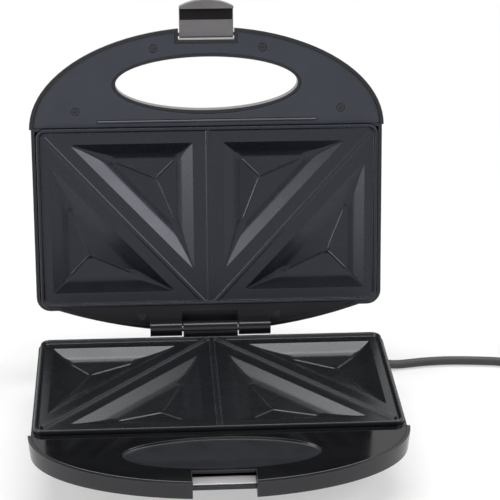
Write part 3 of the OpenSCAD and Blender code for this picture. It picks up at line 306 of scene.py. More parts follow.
def moulded(name, rgb, roughness, grain, grain_size, specular=0.5, edge_paling=1.6):
    """Moulded plastic or rubber: cloudy tone, uneven gloss, edges paler by a given factor
    and a fine grain, whose depth and size are in millimetres"""
    desk = FinishDesk(name)
    tone = desk.blend(desk.clouds(38.0, 4.0), scaled(rgb, 0.88), scaled(rgb, 1.12))
    return desk.finish(
        Base_Color=desk.pale_edges(tone, 0.4 * MM, scaled(rgb, edge_paling)),
        Roughness=desk.clouds(90.0, 5.0, roughness * 0.9, roughness * 1.12),
        Normal=desk.bump(desk.noise(1.0 / (grain_size * MM), 2.0), grain * MM),
        Specular_IOR_Level=specular)


def metal(name, rgb, roughness, brushed=None, metallic=1.0):
    """Bare or lacquered metal with fine lines, stretched along where it is brushed"""
    desk = FinishDesk(name)
    lines = desk.noise(900.0, 4.0, 0.6, brushed)
    tone = desk.blend(desk.clouds(55.0, 3.0), scaled(rgb, 0.9), scaled(rgb, 1.06))
    return desk.finish(
        Base_Color=desk.pale_edges(tone, 0.35 * MM, scaled(rgb, 1.45)),
        Roughness=desk.span(lines, 0.25, 0.75, roughness * 0.8, roughness * 1.25),
        Normal=desk.bump(lines, 0.004 * MM),
        Metallic=metallic)


def coated_plate(name, rgb, roughness, tint):
    """Non-stick coating: fine speckle, orange-peel surface and edges nine times paler, a painted
    highlight along the lips and ribs
    """
    desk = FinishDesk(name)
    speckle = desk.span(desk.noise(2600.0, 2.0, 0.7), 0.42, 0.72, 0.0, 1.0)
    tone = desk.blend(speckle, scaled(rgb, 0.8), scaled(rgb, 1.7))
    smears = desk.noise(45.0, 5.0, 0.55, (1.0, 1.8, 1.8))
    peel = desk.bump(desk.noise(420.0, 2.0), 0.005 * MM)
    return desk.finish(
        # Edges nine times paler: painted highlight lines along the lips and ribs
        Base_Color=desk.pale_edges(tone, 0.45 * MM, scaled(rgb, 9.0)),
        Roughness=desk.span(smears, 0.3, 0.7, roughness * 0.92, roughness * 1.1),
        Normal=desk.bump(desk.noise(2400.0, 2.0), 0.0015 * MM, peel),
        IOR=1.5, Specular_Tint=tint)


def gloss_plastic(name, rgb, roughness):
    """Polished plastic with faint smears, soft waves and edges seven times paler"""
    desk = FinishDesk(name)
    smears = desk.noise(24.0, 6.0, 0.6, (1.0, 2.4, 1.0))
    tone = desk.blend(desk.span(smears, 0.35, 0.7, 0.0, 1.0), rgb, scaled(rgb, 1.5))
    return desk.finish(
        Base_Color=desk.pale_edges(tone, 0.35 * MM, scaled(rgb, 7.0)),
        Roughness=desk.span(smears, 0.3, 0.75, roughness * 0.6, roughness * 1.7),
        Normal=desk.bump(desk.noise(70.0, 1.0), 0.006 * MM),
        Specular_IOR_Level=0.4)


def lens_glass(name, rgb):
    """Tinted clear plastic of an indicator lens"""
    desk = FinishDesk(name)
    swirl = desk.clouds(300.0, 2.0)
    return desk.finish(
        Base_Color=desk.blend(swirl, scaled(rgb, 0.85), scaled(rgb, 1.1)),
        Roughness=desk.span(swirl, 0.0, 1.0, 0.08, 0.16),
        Transmission_Weight=0.35, IOR=1.5)


# -------------------- shapes

def put_in_scene(name, data):
    piece = bpy.data.objects.new(name, data)
    bpy.context.scene.collection.objects.link(piece)
    return piece


def in_base(point):
    """From the plates' drawing place to the frame, for a piece of the base"""
    return Vector((point[0], point[1] + PLATE_BACK, point[2] + SEAM))


def in_lid(point):
    """The same for a piece of the lid, drawn as if the lid were down"""
    turned = Matrix.Rotation(-OPEN_ANGLE, 3, "X") @ (in_base(point) - HINGE)
    return turned + HINGE


def in_flipped_lid(point):
    """The same for a lid piece drawn upside down, rim upwards"""
    return in_lid((point[0], point[1], -point[2]))


class Draft:
    """Points and faces of a piece while it is drawn"""

    def __init__(self):
        self.points = []
        self.faces = []

    def loop(self, points):
        """Adds points in a closed loop, and gives their numbers"""
        start = len(self.points)
        self.points += points
        return list(range(start, len(self.points)))

    def ring(self, plan, height, lift=lambda point: 0.0):
        """Loop at one height; lift raises each point of the plan by its value"""
        return self.loop([(point[0], point[1], height + lift(point)) for point in plan])

    def bands(self, rings):
        """Faces between each loop and the next"""
        for first, second in zip(rings, rings[1:]):
            self.faces += zip(first, first[1:] + first[:1], second[1:] + second[:1], second)

    def sheet(self, outer, holes=()):
        """Flat face between an outer loop and the loops of its holes"""
        loops = [outer, *holes]
        flat = [i for loop in loops for i in loop]
        places = [[Vector(self.points[i]) / MM for i in loop] for loop in loops]
        for triangle in tessellate_polygon(places):
            self.faces.append(tuple(flat[k] for k in triangle))

    def fan(self, ring, tip):
        last = self.loop([tip])[0]
        self.faces += [(a, b, last) for a, b in zip(ring, ring[1:] + ring[:1])]

    def cap(self, ring):
        self.faces.append(tuple(ring))

    def build(self, name, place, material, sharp=38.0):
        mesh = bpy.data.meshes.new(name)
        mesh.from_pydata([place(p) for p in self.points], [], self.faces)
        shape = bmesh.new()
        shape.from_mesh(mesh)
        bmesh.ops.recalc_face_normals(shape, faces=shape.faces)
        shape.to_mesh(mesh)
        shape.free()
        mesh.shade_smooth()
        mesh.set_sharp_from_angle(angle=math.radians(sharp))
        mesh.materials.append(material)
        return put_in_scene(name, mesh)


def smooth_step(value, low, high):
    t = max(0.0, min(1.0, (value - low) / (high - low)))
    return t * t * (3 - 2 * t)


def shift(value, goal, at, low, high):
    """Moves a value over to its goal while at goes from low to high"""
    return value + (goal - value) * smooth_step(at, low, high)


def rounded_rectangle(half_x, back, front, corner, steps=8, support=0.0008):
    """Plan of a rectangle with round corners, with points close to each corner's ends"""
    def step(place, degrees, distance):
        angle = math.radians(degrees)
        return (place[0] + distance * math.cos(angle), place[1] + distance * math.sin(angle))

    points = []
    corners = [(1, -back - corner, 0), (-1, -back - corner, 90),
               (-1, -front + corner, 180), (1, -front + corner, 270)]
    for side, middle_y, start in corners:
        middle = (side * (half_x - corner), middle_y)
        arc = [step(middle, start + 90 * i / steps, corner) for i in range(steps + 1)]
        points += [step(arc[0], start - 90, support), *arc,
                   step(arc[-1], start + 180, support)]
    return points


def corner_arc(before, at, after, radius, steps, support):
    """Round corner between two edges, with one more point on each edge beside it.

    The third number of each point is its distance from the line that halves the corner."""
    to_before = (before - at).normalized()
    to_after = (after - at).normalized()
    half = math.acos(max(-1.0, min(1.0, to_before.dot(to_after)))) / 2
    along = radius / math.tan(half)
    middle = at + (to_before + to_after).normalized() * radius / math.sin(half)
    first = at + to_before * along - middle
    last = at + to_after * along - middle
    arc = [middle + (first * (1 - i / steps) + last * i / steps).normalized() * radius
           for i in range(steps + 1)]
    points = [at + to_before * (along + support), *arc, at + to_after * (along + support)]
    halving = (middle - at).normalized()
    return [(p.x, p.y, abs((p - at).cross(halving))) for p in points]


def pocket_ring(corners, inset, radius):
    """A pocket's triangle pulled in by inset, with round corners"""
    a = (corners[2] - corners[1]).length
    b = (corners[2] - corners[0]).length
    c = (corners[1] - corners[0]).length
    middle = (corners[0] * a + corners[1] * b + corners[2] * c) / (a + b + c)
    inner = (b + c - a) / 2
    scale = 1 - inset / inner
    moved = [middle + (corner - middle) * scale for corner in corners]
    radius = min(radius, 0.4 * (inner - inset))
    support = min(0.8 * MM, 0.12 * (inner - inset))
    points = []
    for i in range(3):
        points += corner_arc(moved[i - 1], moved[i], moved[(i + 1) % 3], radius, 18, support)
    return points, middle, inner


def bead(distance, sizes):
    """Height of the fine raised line along a crease"""
    t = max(0.0, 1 - (distance / sizes.bead_width) ** 2)
    return sizes.bead_height * t * t


def oval(half_x, half_y, middle_y, count=96, middle_x=0.0):
    return [(middle_x + half_x * math.cos(math.tau * i / count),
             middle_y + half_y * math.sin(math.tau * i / count)) for i in range(count)]


# -------------------- cooking plates

# Inset and depth of the rings over the edge of a pocket's mouth, in millimetres
MOUTH_EDGE = ((-0.5, 0.0), (-0.3, 0.0), (-0.12, 0.02), (0.05, 0.09))
# Distance between the rings round the turns of a pocket's wall
TURN_STEP = 0.4 * MM
# Rings of a pocket's floor, as shares of the way from its wall to its middle
FLOOR_RINGS = (0.05, 0.1, 0.15, 0.22, 0.3, 0.4, 0.5, 0.62, 0.74, 0.84, 0.91, 0.95, 0.975)
# The lip's section in millimetres: its outer and inner edge, inset and depth below its top,
# and its inner foot, inset and height above the flat; the last two start from its width
LIP_OUTER = ((0.0, 0.7), (0.07, 0.38), (0.3, 0.1), (0.65, 0.0))
LIP_INNER = ((-0.75, 0.0), (-0.4, 0.1), (-0.15, 0.35), (0.0, 0.8))
LIP_FOOT = ((0.1, 0.55), (0.3, 0.2), (0.7, 0.02), (1.0, 0.0), (1.4, 0.0))
# Half of a rib's section, as shares of its half width and of its height
RIB_SECTION = [(1.12, -0.15), (1.0, 0.0), (0.86, 0.1), (0.66, 0.75), (0.58, 0.92),
               (0.48, 0.99), (0.4, 1.0)]


def plate_pockets(sizes):
    """Corners of the four pockets, each with its right angle first"""
    margin, gap = sizes.pocket_margin, sizes.pocket_middle
    wide, long = sizes.pocket_width, sizes.pocket_length
    front = -sizes.depth + margin + MM
    left = -sizes.width / 2 + margin - 1.2 * MM
    inner = [(-gap, front), (-gap - wide, front), (-gap, front + long)]
    outer = [(left, -margin), (left + wide, -margin), (left, -margin - long)]
    return [[Vector((side * x, y)) for x, y in triangle]
            for triangle in (inner, outer) for side in (1, -1)]


def pocket_profile(sizes, inner):
    """Inset and depth from the flat: over the mouth's edge, down the wall and its foot

    The wall is steep, its foot leans less, and the floor falls gently inwards."""
    foot_end = sizes.pocket_slope
    wall_end = foot_end - sizes.pocket_turn
    half_turn = sizes.wall_turn / 2
    fall = (sizes.pocket_depth - sizes.pocket_side) / (inner - foot_end)

    def slope(inset):
        wall = shift(sizes.wall_slope, sizes.foot_slope, inset,
                     wall_end - half_turn, wall_end + half_turn)
        return shift(wall, fall, inset, foot_end - half_turn, foot_end + half_turn)

    profile = [(inset * MM, depth * MM) for inset, depth in MOUTH_EDGE]
    rings = [t * MM for t in (0.25, 0.45, 0.65)] + [wall_end * t for t in (0.25, 0.45, 0.65)]
    while rings[-1] < foot_end + half_turn:
        rings.append(max(rings[-1] + TURN_STEP, wall_end - half_turn))
    start = rings[-1]
    rings += [start + t * (inner - start) for t in FLOOR_RINGS]
    inset, depth = profile[-1]
    for ring in rings:
        depth += slope((inset + ring) / 2) * (ring - inset)
        inset = ring
        profile.append((inset, depth))
    return profile


def draw_rib(draft, start, end, sizes, flat, height):
    """Rib with a flat top and rounded edges standing on the flat"""
    along = Vector((end[0] - start[0], end[1] - start[1])).normalized()
    across = Vector((-along.y, along.x)) * sizes.rib_width / 2
    section = [(-x, z) for x, z in RIB_SECTION] + RIB_SECTION[::-1]
    ends = [draft.loop([(*(Vector(point) + across * offset), flat + rise * height)
                        for offset, rise in section]) for point in (start, end)]
    draft.bands(ends)
    draft.cap(ends[0])
    draft.cap(ends[1][::-1])


def draw_plate(sizes, rib_height):
    """One cooking plate drawn rim upwards about its hinge-side edge"""
    draft = Draft()
    half = sizes.width / 2
    top = -LIP_GAP
    flat = top - sizes.lip_height
    under = flat - sizes.wall
    foot = top - sizes.skirt
    wide = sizes.lip_width

    def outline(inset):
        return rounded_rectangle(half - inset, inset, sizes.depth - inset,
                                 max(sizes.corner - inset, 0.8 * MM))

    edge = [(wide, under), (wide, foot + 0.2 * MM), (wide - 0.2 * MM, foot),
            (0.25 * MM, foot), (0.0, foot + 0.25 * MM)]
    edge += [(x * MM, top - z * MM) for x, z in LIP_OUTER]
    edge += [(wide + x * MM, top - z * MM) for x, z in LIP_INNER]
    edge += [(wide + x * MM, flat + z * MM) for x, z in LIP_FOOT]
    rings = [draft.ring(outline(inset), z) for inset, z in edge]
    draft.bands(rings)
    mouths, backs = [], []
    slope = sizes.pocket_slope
    for corners in plate_pockets(sizes):
        _, middle, inner = pocket_ring(corners, 0.0, sizes.pocket_edge)
        profile = pocket_profile(sizes, inner + sizes.pocket_grow)
        pocket = []
        for inset, depth in profile:
            fade = smooth_step(inset, 1.02 * slope, 1.3 * slope)
            radius = sizes.pocket_edge + 0.6 * max(-inset, 0.0)
            radius = shift(radius, sizes.pocket_round, inset, 0.1 * slope, slope)
            radius = shift(radius, sizes.crease, inset, 0.85 * slope, 1.2 * slope)
            pocket.append(draft.ring(
                pocket_ring(corners, inset - sizes.pocket_grow, radius)[0], flat - depth,
                lambda point, fade=fade: fade * bead(point[2], sizes)))
        draft.bands(pocket)
        draft.fan(pocket[-1], (middle.x, middle.y,
                               flat - profile[-1][1] + sizes.bead_height))
        mouths.append(pocket[0])
        # the pocket's underside, one wall thickness away
        shell = [draft.ring(pocket_ring(corners, inset - sizes.wall, 3.5 * MM)[0], z)
                 for inset, z in [(0.0, under), (0.1 * slope, under - 1.6 * MM),
                                  (0.5 * slope, under - 4.2 * MM),
                                  (slope, under - sizes.pocket_side)]]
        draft.bands(shell)
        draft.fan(shell[-1], (middle.x, middle.y, under - sizes.pocket_depth))
        backs.append(shell[0])
    draft.sheet(rings[-1], mouths)
    draft.sheet(rings[0], backs)
    for side in (1, -1):
        draw_rib(draft, (side * (half - 5 * MM), -sizes.depth + 6 * MM),
                 (side * 4.2 * MM, -wide), sizes, flat, rib_height)
    draw_rib(draft, (0.0, -sizes.depth + wide - 0.2 * MM), (0.0, -wide + 0.2 * MM),
             sizes, flat, rib_height)
    return draft


class TOASTER_OT_cooking_plates(bpy.types.Operator):
    """Build the two coated cooking plates with their pockets, lips and ribs"""

    bl_idname = "toaster.cooking_plates"
    bl_label = "Cooking Plates"

    def execute(self, context):
        sizes = context.scene.toaster_plate
        colours = context.scene.toaster_finish
        # One non-stick coating in two copies: the lid's is lighter and bluer, with a bluer
        # reflection tint, painted light on the lid's face
        coating = coated_plate("nonstick_coating", colours.coating, 0.27, (0.96, 0.97, 1.0))
        lid_coating_painted_light = coated_plate("nonstick_lid_coating", colours.lid_coating_painted_light, 0.27,
                                   (0.88, 0.89, 1.0))
        for body, place, node, finish, rib_height in (
                ("base", in_base, "lower_plate", coating, sizes.rib_height),
                ("lid", in_flipped_lid, "upper_plate", lid_coating_painted_light, sizes.lid_rib_height)):
            piece = draw_plate(sizes, rib_height).build(f"{body}_cooking_plate", place,
                                                        finish, sharp=50.0)
            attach(piece, body)
            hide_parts(node)
        return {"FINISHED"}


# -------------------- lower handle deck

# Distance of the deck's straight edge
DECK_BACK = 118.3 * MM
# Rings round the deck's edge: inset and depth in millimetres
DECK_EDGE = ((0.0, 0.4), (0.1, 0.12), (0.32, 0.0), (0.5, 0.0))
# Rings of the dish, from how far outside its oval: depth of its lip, in millimetres, and
# share of its depth where its floor starts; then the floor's number of rings
DISH_LIP = ((0.45, 0.0), (0.3, 0.0), (0.15, 0.05), (0.0, 0.22), (-0.1, 0.5))
DISH_FLOOR = ((-0.2, 0.62), (-0.35, 0.85), (-0.6, 0.97), (-0.9, 1.0))
DISH_RINGS = 16


def deck_ring(sizes, inset, steps=36):
    """Plan of the deck: oval front with the latch notch, straight edge at the plate"""
    side = sizes.half_width - inset
    front = sizes.reach - sizes.root - inset
    start = math.asin((DECK_BACK + inset * 0.2 - sizes.root) / front)
    notch = sizes.notch_half + inset - (sizes.rim_wall + sizes.gap)
    stop = math.acos(notch / side)
    angles = [start + (stop - start) * i / steps for i in range(steps + 1)]
    right = [(side * math.cos(a), -(sizes.root + front * math.sin(a))) for a in angles]
    notch_y = -(sizes.notch_back - (inset - sizes.rim_wall - sizes.gap))
    left = [(-x, y) for x, y in reversed(right)]
    return right + [(notch, notch_y), (-notch, notch_y)] + left


def draw_deck(sizes):
    """The deck with its dish, and which of its faces are the dish's satin floor"""
    draft = Draft()
    top = -sizes.drop
    start = sizes.rim_wall + sizes.gap
    edge = [(start, top - sizes.thickness)]
    edge += [(start + inset * MM, top - depth * MM) for inset, depth in DECK_EDGE]
    rings = [draft.ring(deck_ring(sizes, inset), z) for inset, z in edge]
    draft.bands(rings)
    deep = sizes.dish_depth
    middle = -sizes.dish_middle

    def dish(grow, scale=1.0):
        return oval((sizes.dish_half_length + grow * MM) * scale,
                    (sizes.dish_half_width + grow * MM) * scale, middle)

    def rise(point):
        """The dish's floor rises towards the handle's front"""
        past = middle - sizes.dish_fold - point[1]
        return sizes.dish_rise * smooth_step(past, 0.0,
                                             sizes.dish_half_width - sizes.dish_fold)

    lip = [draft.ring(dish(grow), top - depth * MM) for grow, depth in DISH_LIP]
    floor = [draft.ring(dish(grow), top - deep * part, rise) for grow, part in DISH_FLOOR]
    floor += [draft.ring(dish(DISH_FLOOR[-1][0], 1 - i / DISH_RINGS), top - deep, rise)
              for i in range(1, DISH_RINGS)]
    draft.sheet(rings[-1], [lip[0]])
    draft.bands(lip)
    floor_from = len(draft.faces)
    draft.bands([lip[-1], *floor])
    draft.cap(floor[-1])
    floor_to = len(draft.faces)
    under = top - deep - 1.2 * MM
    outside = [draft.ring(dish(grow), z) for grow, z in (
        (0.9, top - sizes.thickness), (0.9, under + 0.1 * MM), (0.8, under))]
    draft.bands(outside)
    draft.cap(outside[-1])
    draft.sheet(rings[0], [outside[0]])
    return draft, range(floor_from, floor_to)


class TOASTER_OT_handle_deck(bpy.types.Operator):
    """Build the glossy deck of the lower handle with its finger dish"""

    bl_idname = "toaster.handle_deck"
    bl_label = "Handle Deck"

    def execute(self, context):
        colours = context.scene.toaster_finish
        finish = gloss_plastic("polished_deck", colours.deck, 0.07)
        satin = moulded("dish_satin", colours.dish, 0.3, 0.004, 0.7, specular=0.42)
        draft, floor = draw_deck(context.scene.toaster_handle)
        piece = draft.build("lower_handle_deck", in_base, finish, sharp=40.0)
        piece.data.materials.append(satin)
        for index in floor:
            piece.data.polygons[index].material_index = 1
        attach(piece, "base")
        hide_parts("lower_handle_cover")
        return {"FINISHED"}


# -------------------- carried-over CAD pieces

def smooth_group():
    """Node group that shades a piece smooth and drops its stored facet normals"""
    name = "smooth_faces"
    if name in bpy.data.node_groups:
        return bpy.data.node_groups[name]
    group = bpy.data.node_groups.new(name, "GeometryNodeTree")
    for side in ("INPUT", "OUTPUT"):
        group.interface.new_socket("Geometry", in_out=side, socket_type="NodeSocketGeometry")
    last = group.nodes.new("NodeGroupInput").outputs[0]
    for layer in ("custom_normal", "sharp_edge", "sharp_face"):
        drop = group.nodes.new("GeometryNodeRemoveAttribute")
        drop.inputs["Name"].default_value = layer
        group.links.new(last, drop.inputs["Geometry"])
        last = drop.outputs["Geometry"]
    smooth = group.nodes.new("GeometryNodeSetShadeSmooth")
    group.links.new(last, smooth.inputs["Geometry"])
    group.links.new(smooth.outputs["Geometry"], group.nodes.new("NodeGroupOutput").inputs[0])
    return group


def dress(material, edge, *nodes, sharp=32.0):
    """Gives CAD pieces their finish, and rounds their edges by millimetres"""
    for node in nodes:
        piece = NODES[node]
        piece.data.materials.clear()
        piece.data.materials.append(material)
        smooth = piece.modifiers.new("Smooth faces", "NODES")
        smooth.node_group = smooth_group()
        weld = piece.modifiers.new("Joined points", "WELD")
        weld.merge_threshold = 0.002 * MM
        flats = piece.modifiers.new("Whole flats", "DECIMATE")
        flats.decimate_type = "DISSOLVE"
        flats.angle_limit = math.radians(0.4)
        if edge:
            bevel = piece.modifiers.new("Round edges", "BEVEL")
            bevel.width = edge * MM
            bevel.segments = 2
            bevel.limit_method = "ANGLE"
            bevel.angle_limit = math.radians(sharp)
            bevel.use_clamp_overlap = True
        even = piece.modifiers.new("Even shading", "WEIGHTED_NORMAL")
        even.keep_sharp = False


def draw_groove_bar(sizes):
    """Slim round bar that lies along the groove in the lid handle's cover, pale to paint the
    groove's highlight line
    """
    draft = Draft()
    rings = []
    for along, share_of_radius in ((-1.0, 0.45), (-0.996, 0.85), (-0.99, 1.0), (0.99, 1.0),
                                   (0.996, 0.85), (1.0, 0.45)):
        radius = sizes.bar_radius * share_of_radius
        rings.append(draft.loop([
            (along * sizes.bar_half, y, sizes.bar_lift + z)
            for y, z in oval(radius, radius, 0.0, 16, -sizes.bar_place)]))
    draft.bands(rings)
    draft.cap(rings[0])
    draft.cap(rings[-1][::-1])
    return draft


class TOASTER_OT_casings(bpy.types.Operator):
    """Finish the two casings, the lid handle's cover with its groove, and the feet"""

    bl_idname = "toaster.casings"
    bl_label = "Casings"

    def execute(self, context):
        colours = context.scene.toaster_finish
        satin = moulded("satin_casing", colours.casing, 0.23, 0.003, 0.6, 0.42, edge_paling=6.0)
        cover = moulded("satin_lid_cover", colours.cover, 0.42, 0.006, 0.5, edge_paling=3.0)
        dress(satin, 0.45, "lower_casing", "upper_casing")
        dress(cover, 0.45, "upper_handle_cover")
        dress(moulded("foot_rubber", colours.foot, 0.7, 0.02, 0.9), 0.4, "feet")
        # Bar in the groove: its shape catches the overhead light, and its pale tone is a painted
        # highlight on top
        bar = draw_groove_bar(context.scene.toaster_handle).build(
            "cover_groove_bead", in_lid,
            moulded("groove_bar_satin", colours.groove_highlight, 0.3, 0.004, 0.6))
        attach(bar, "lid")
        return {"FINISHED"}


class TOASTER_OT_latch(bpy.types.Operator):
    """Finish the swing latch, its insert and pin, and the strip that it hooks under"""

    bl_idname = "toaster.latch"
    bl_label = "Latch"

    def execute(self, context):
        colours = context.scene.toaster_finish
        dress(metal("silver_lacquer", colours.latch, 0.42, metallic=0.55), 0.35, "latch")
        pad = moulded("latch_pad", (0.004, 0.004, 0.005), 0.6, 0.01, 0.5, specular=0.2)
        dress(pad, 0.12, "latch_insert")
        dress(metal("pin_steel", colours.steel, 0.28, (14.0, 1.0, 1.0)), 0.0, "latch_pin")
        bright = metal("bright_strip", colours.strip, 0.3, (1.0, 14.0, 14.0), 0.7)
        dress(bright, 0.2, "catch_strip")
        return {"FINISHED"}


class TOASTER_OT_fasteners(bpy.types.Operator):
    """Finish the screws and the hinge pins"""

    bl_idname = "toaster.fasteners"
    bl_label = "Fasteners"

    def execute(self, context):
        colours = context.scene.toaster_finish
        dark = metal("blackened_screws", colours.dark_steel, 0.38, metallic=0.8)
        steel = metal("zinc_screws", colours.steel, 0.34)
        dress(dark, 0.12, "upper_cover_screws", "hinge_side_screws", "lower_cover_screws")
        dress(steel, 0.12, "lower_plate_screws", "upper_plate_screws", "clamp_screws")
        dress(steel, 0.0, "hinge_pins")
        return {"FINISHED"}


class TOASTER_OT_indicator_lights(bpy.types.Operator):
    """Finish the two indicator lenses and the lamps behind them"""

    bl_idname = "toaster.indicator_lights"
    bl_label = "Indicator Lights"

    def execute(self, context):
        for node, name, rgb in (("power_lens", "red_lens", (0.42, 0.02, 0.015)),
                                ("ready_lens", "green_lens", (0.02, 0.26, 0.05)),
                                ("indicator_lamps", "lamp_glass", (0.75, 0.55, 0.35))):
            dress(lens_glass(name, rgb), 0.2, node)
        return {"FINISHED"}


class TOASTER_OT_inner_fittings(bpy.types.Operator):
    """Finish the heating elements, reflectors, thermostat, fuse, block and wiring"""

    bl_idname = "toaster.inner_fittings"
    bl_label = "Inner Fittings"

    def execute(self, context):
        dress(metal("element_sheath", (0.27, 0.26, 0.25), 0.45), 0.0,
              "lower_element", "upper_element")
        dress(metal("aluminised_tray", (0.62, 0.63, 0.64), 0.35), 0.2,
              "lower_reflector", "upper_reflector")
        dress(moulded("red_silicone", (0.42, 0.03, 0.022), 0.55, 0.008, 0.8), 0.0,
              "lower_wiring", "upper_wiring")
        for node, name, rgb, roughness, grain, grain_size, edge in (
                ("terminal_block", "white_nylon", (0.72, 0.69, 0.62), 0.5, 0.008, 0.8, 0.3),
                ("thermal_fuse", "fuse_sleeve", (0.66, 0.64, 0.58), 0.6, 0.02, 0.6, 0.2),
                ("thermostat", "thermostat_ceramic", (0.56, 0.52, 0.44), 0.55, 0.01, 0.7, 0.2),
                ("cord_clamp", "clamp_nylon", (0.04, 0.04, 0.045), 0.5, 0.008, 0.8, 0.3)):
            dress(moulded(name, rgb, roughness, grain, grain_size), edge, node)
        return {"FINISHED"}


# -------------------- mains cord

# From the strain relief along the table, X, Y and height in metres
CORD_ROUTE = [
    (0.102633, 0.066483, 0.011), (0.1085, 0.0688, 0.0089), (0.114, 0.0699, 0.0062),
    (0.120, 0.0707, 0.0041), (0.127, 0.0718, 0.0031), (0.135, 0.0732, 0.003),
    (0.144, 0.0746, 0.003), (0.153, 0.0754, 0.003), (0.163, 0.0756, 0.003),
    (0.174, 0.0749, 0.003), (0.185, 0.0738, 0.003), (0.196, 0.072, 0.003),
    (0.206, 0.068, 0.003), (0.216, 0.062, 0.003)]
PLUG_ROUTE = [
    (0.2565, 0.0473, 0.0092), (0.265, 0.0479, 0.0103), (0.273, 0.0487, 0.0116),
    (0.280, 0.0492, 0.0124)]
COIL_MIDDLE = (0.246, 0.084)
# Degrees along the coil: its whole run and step, and where it moves in, up and out again
COIL_RUN = range(-136, 991, 10)
COIL_IN, COIL_UP, COIL_OUT = (168, 212), (470, 520), (780, 826)


def coil_points(sizes):
    """Turns of the coil: outer and inner turn on the table, then back out on top"""
    points = []
    for degrees in COIL_RUN:
        inward = smooth_step(degrees, *COIL_IN) - smooth_step(degrees, *COIL_OUT)
        radius = sizes.outer_turn + (sizes.inner_turn - sizes.outer_turn) * inward
        height = shift(sizes.low, sizes.high, degrees, *COIL_UP)
        angle = math.radians(degrees)
        points.append((COIL_MIDDLE[0] + radius * math.cos(angle),
                       COIL_MIDDLE[1] + radius * math.sin(angle), height))
    return points


def curve_points(route, steps):
    """Smooth line through the route's points"""
    vectors = [Vector(p) for p in route]
    last = len(vectors) - 1
    line = []
    for i in range(last):
        a, b = vectors[max(i - 1, 0)], vectors[i]
        c, d = vectors[i + 1], vectors[min(i + 2, last)]
        for k in range(steps):
            t = k / steps
            line.append(0.5 * (2 * b + (c - a) * t + (2 * a - 5 * b + 4 * c - d) * t * t
                               + (3 * b - a - 3 * c + d) * t ** 3))
    line.append(vectors[last])
    return line


class TOASTER_OT_mains_cord(bpy.types.Operator):
    """Build the mains cord with its coil, and finish its relief, tie and plug"""

    bl_idname = "toaster.mains_cord"
    bl_label = "Mains Cord"

    def execute(self, context):
        sizes = context.scene.toaster_cord
        colours = context.scene.toaster_finish
        sheath = moulded("cord_sheath", colours.rubber, 0.5, 0.012, 0.7)
        moulding = moulded("plug_moulding", scaled(colours.rubber, 0.7), 0.45, 0.01, 0.6)
        strap = moulded("tie_strap", (0.016, 0.016, 0.018), 0.4, 0.006, 0.6)
        nickel = metal("pin_nickel", (0.6, 0.59, 0.56), 0.22)
        line = curve_points(CORD_ROUTE + coil_points(sizes) + PLUG_ROUTE, 3)
        data = bpy.data.curves.new("mains_cord", "CURVE")
        data.dimensions = "3D"
        data.bevel_depth = sizes.diameter / 2
        data.bevel_resolution = 6
        data.use_fill_caps = True
        spline = data.splines.new("POLY")
        spline.points.add(len(line) - 1)
        for point, place in zip(spline.points, line):
            point.co = (*place, 1.0)
        data.materials.append(sheath)
        piece = put_in_scene("mains_cord", data)
        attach(piece, "base")
        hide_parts("cord", "cord_coil")
        dress(moulding, 0.3, "strain_relief")
        dress(moulding, 1.6, "plug_body", sharp=20.0)
        dress(nickel, 0.3, "plug_pins")
        dress(strap, 0.25, "cord_tie")
        return {"FINISHED"}


# -------------------- studio

TOASTER_MIDDLE = (0.0, 0.0, 0.11)
# Each softbox: its setting, its place, what it is aimed at, its width and its height
SOFTBOXES = (
    ("overhead", (0.0, 0.3, 1.5), (0.0, 0.1, 0.1), 1.9, 0.58),
    ("left", (-1.05, -0.62, 0.3), TOASTER_MIDDLE, 0.6, 0.55),
    ("left_high", (-0.95, -0.66, 0.7), TOASTER_MIDDLE, 0.5, 0.5),
    ("right", (0.95, -0.62, 0.85), TOASTER_MIDDLE, 0.7, 0.6))
# Parts of a direction one long: behind it is never dark in gloss, the ceiling starts at
# this height, and a flag lies at this place on each side, up to its top
BEHIND = (-0.3, -0.1)
CEILING_EDGE = (0.6, 0.75)
FLAG_PLACE = 0.54
FLAG_EDGE, FLAG_TOP = (0.15, 0.23), (0.46, 0.53)
# Distances from the toaster between which the floor turns plain white
FLOOR_WHITENS = (0.22, 0.62)
# Floor: half its width, its front, where its curve starts, the curve's radius, its top
FLOOR_HALF, FLOOR_FRONT, CURVE_FROM, CURVE_RADIUS, BACKDROP_TOP = 6.0, -4.0, 3.0, 1.5, 5.0
# Camera: tilt, turn and roll in degrees, place from the plates' edge, focal length and shift
CAMERA_TURNS = (24.12, 4.11, 0.44)
CAMERA_PLACE = (-0.04389, -1.04352, 0.57041)
CAMERA_LENS, CAMERA_SHIFT = 129.75, (-0.0197, -0.0057)


def softbox(name, place, target, width, height, watts):
    data = bpy.data.lights.new(name, "AREA")
    data.shape = "RECTANGLE"
    data.size, data.size_y = width, height
    data.energy = watts
    lamp = put_in_scene(name, data)
    lamp.location = place
    lamp.rotation_mode = "QUATERNION"
    towards = Vector(target) - Vector(place)
    lamp.rotation_quaternion = towards.to_track_quat("-Z", "Y")


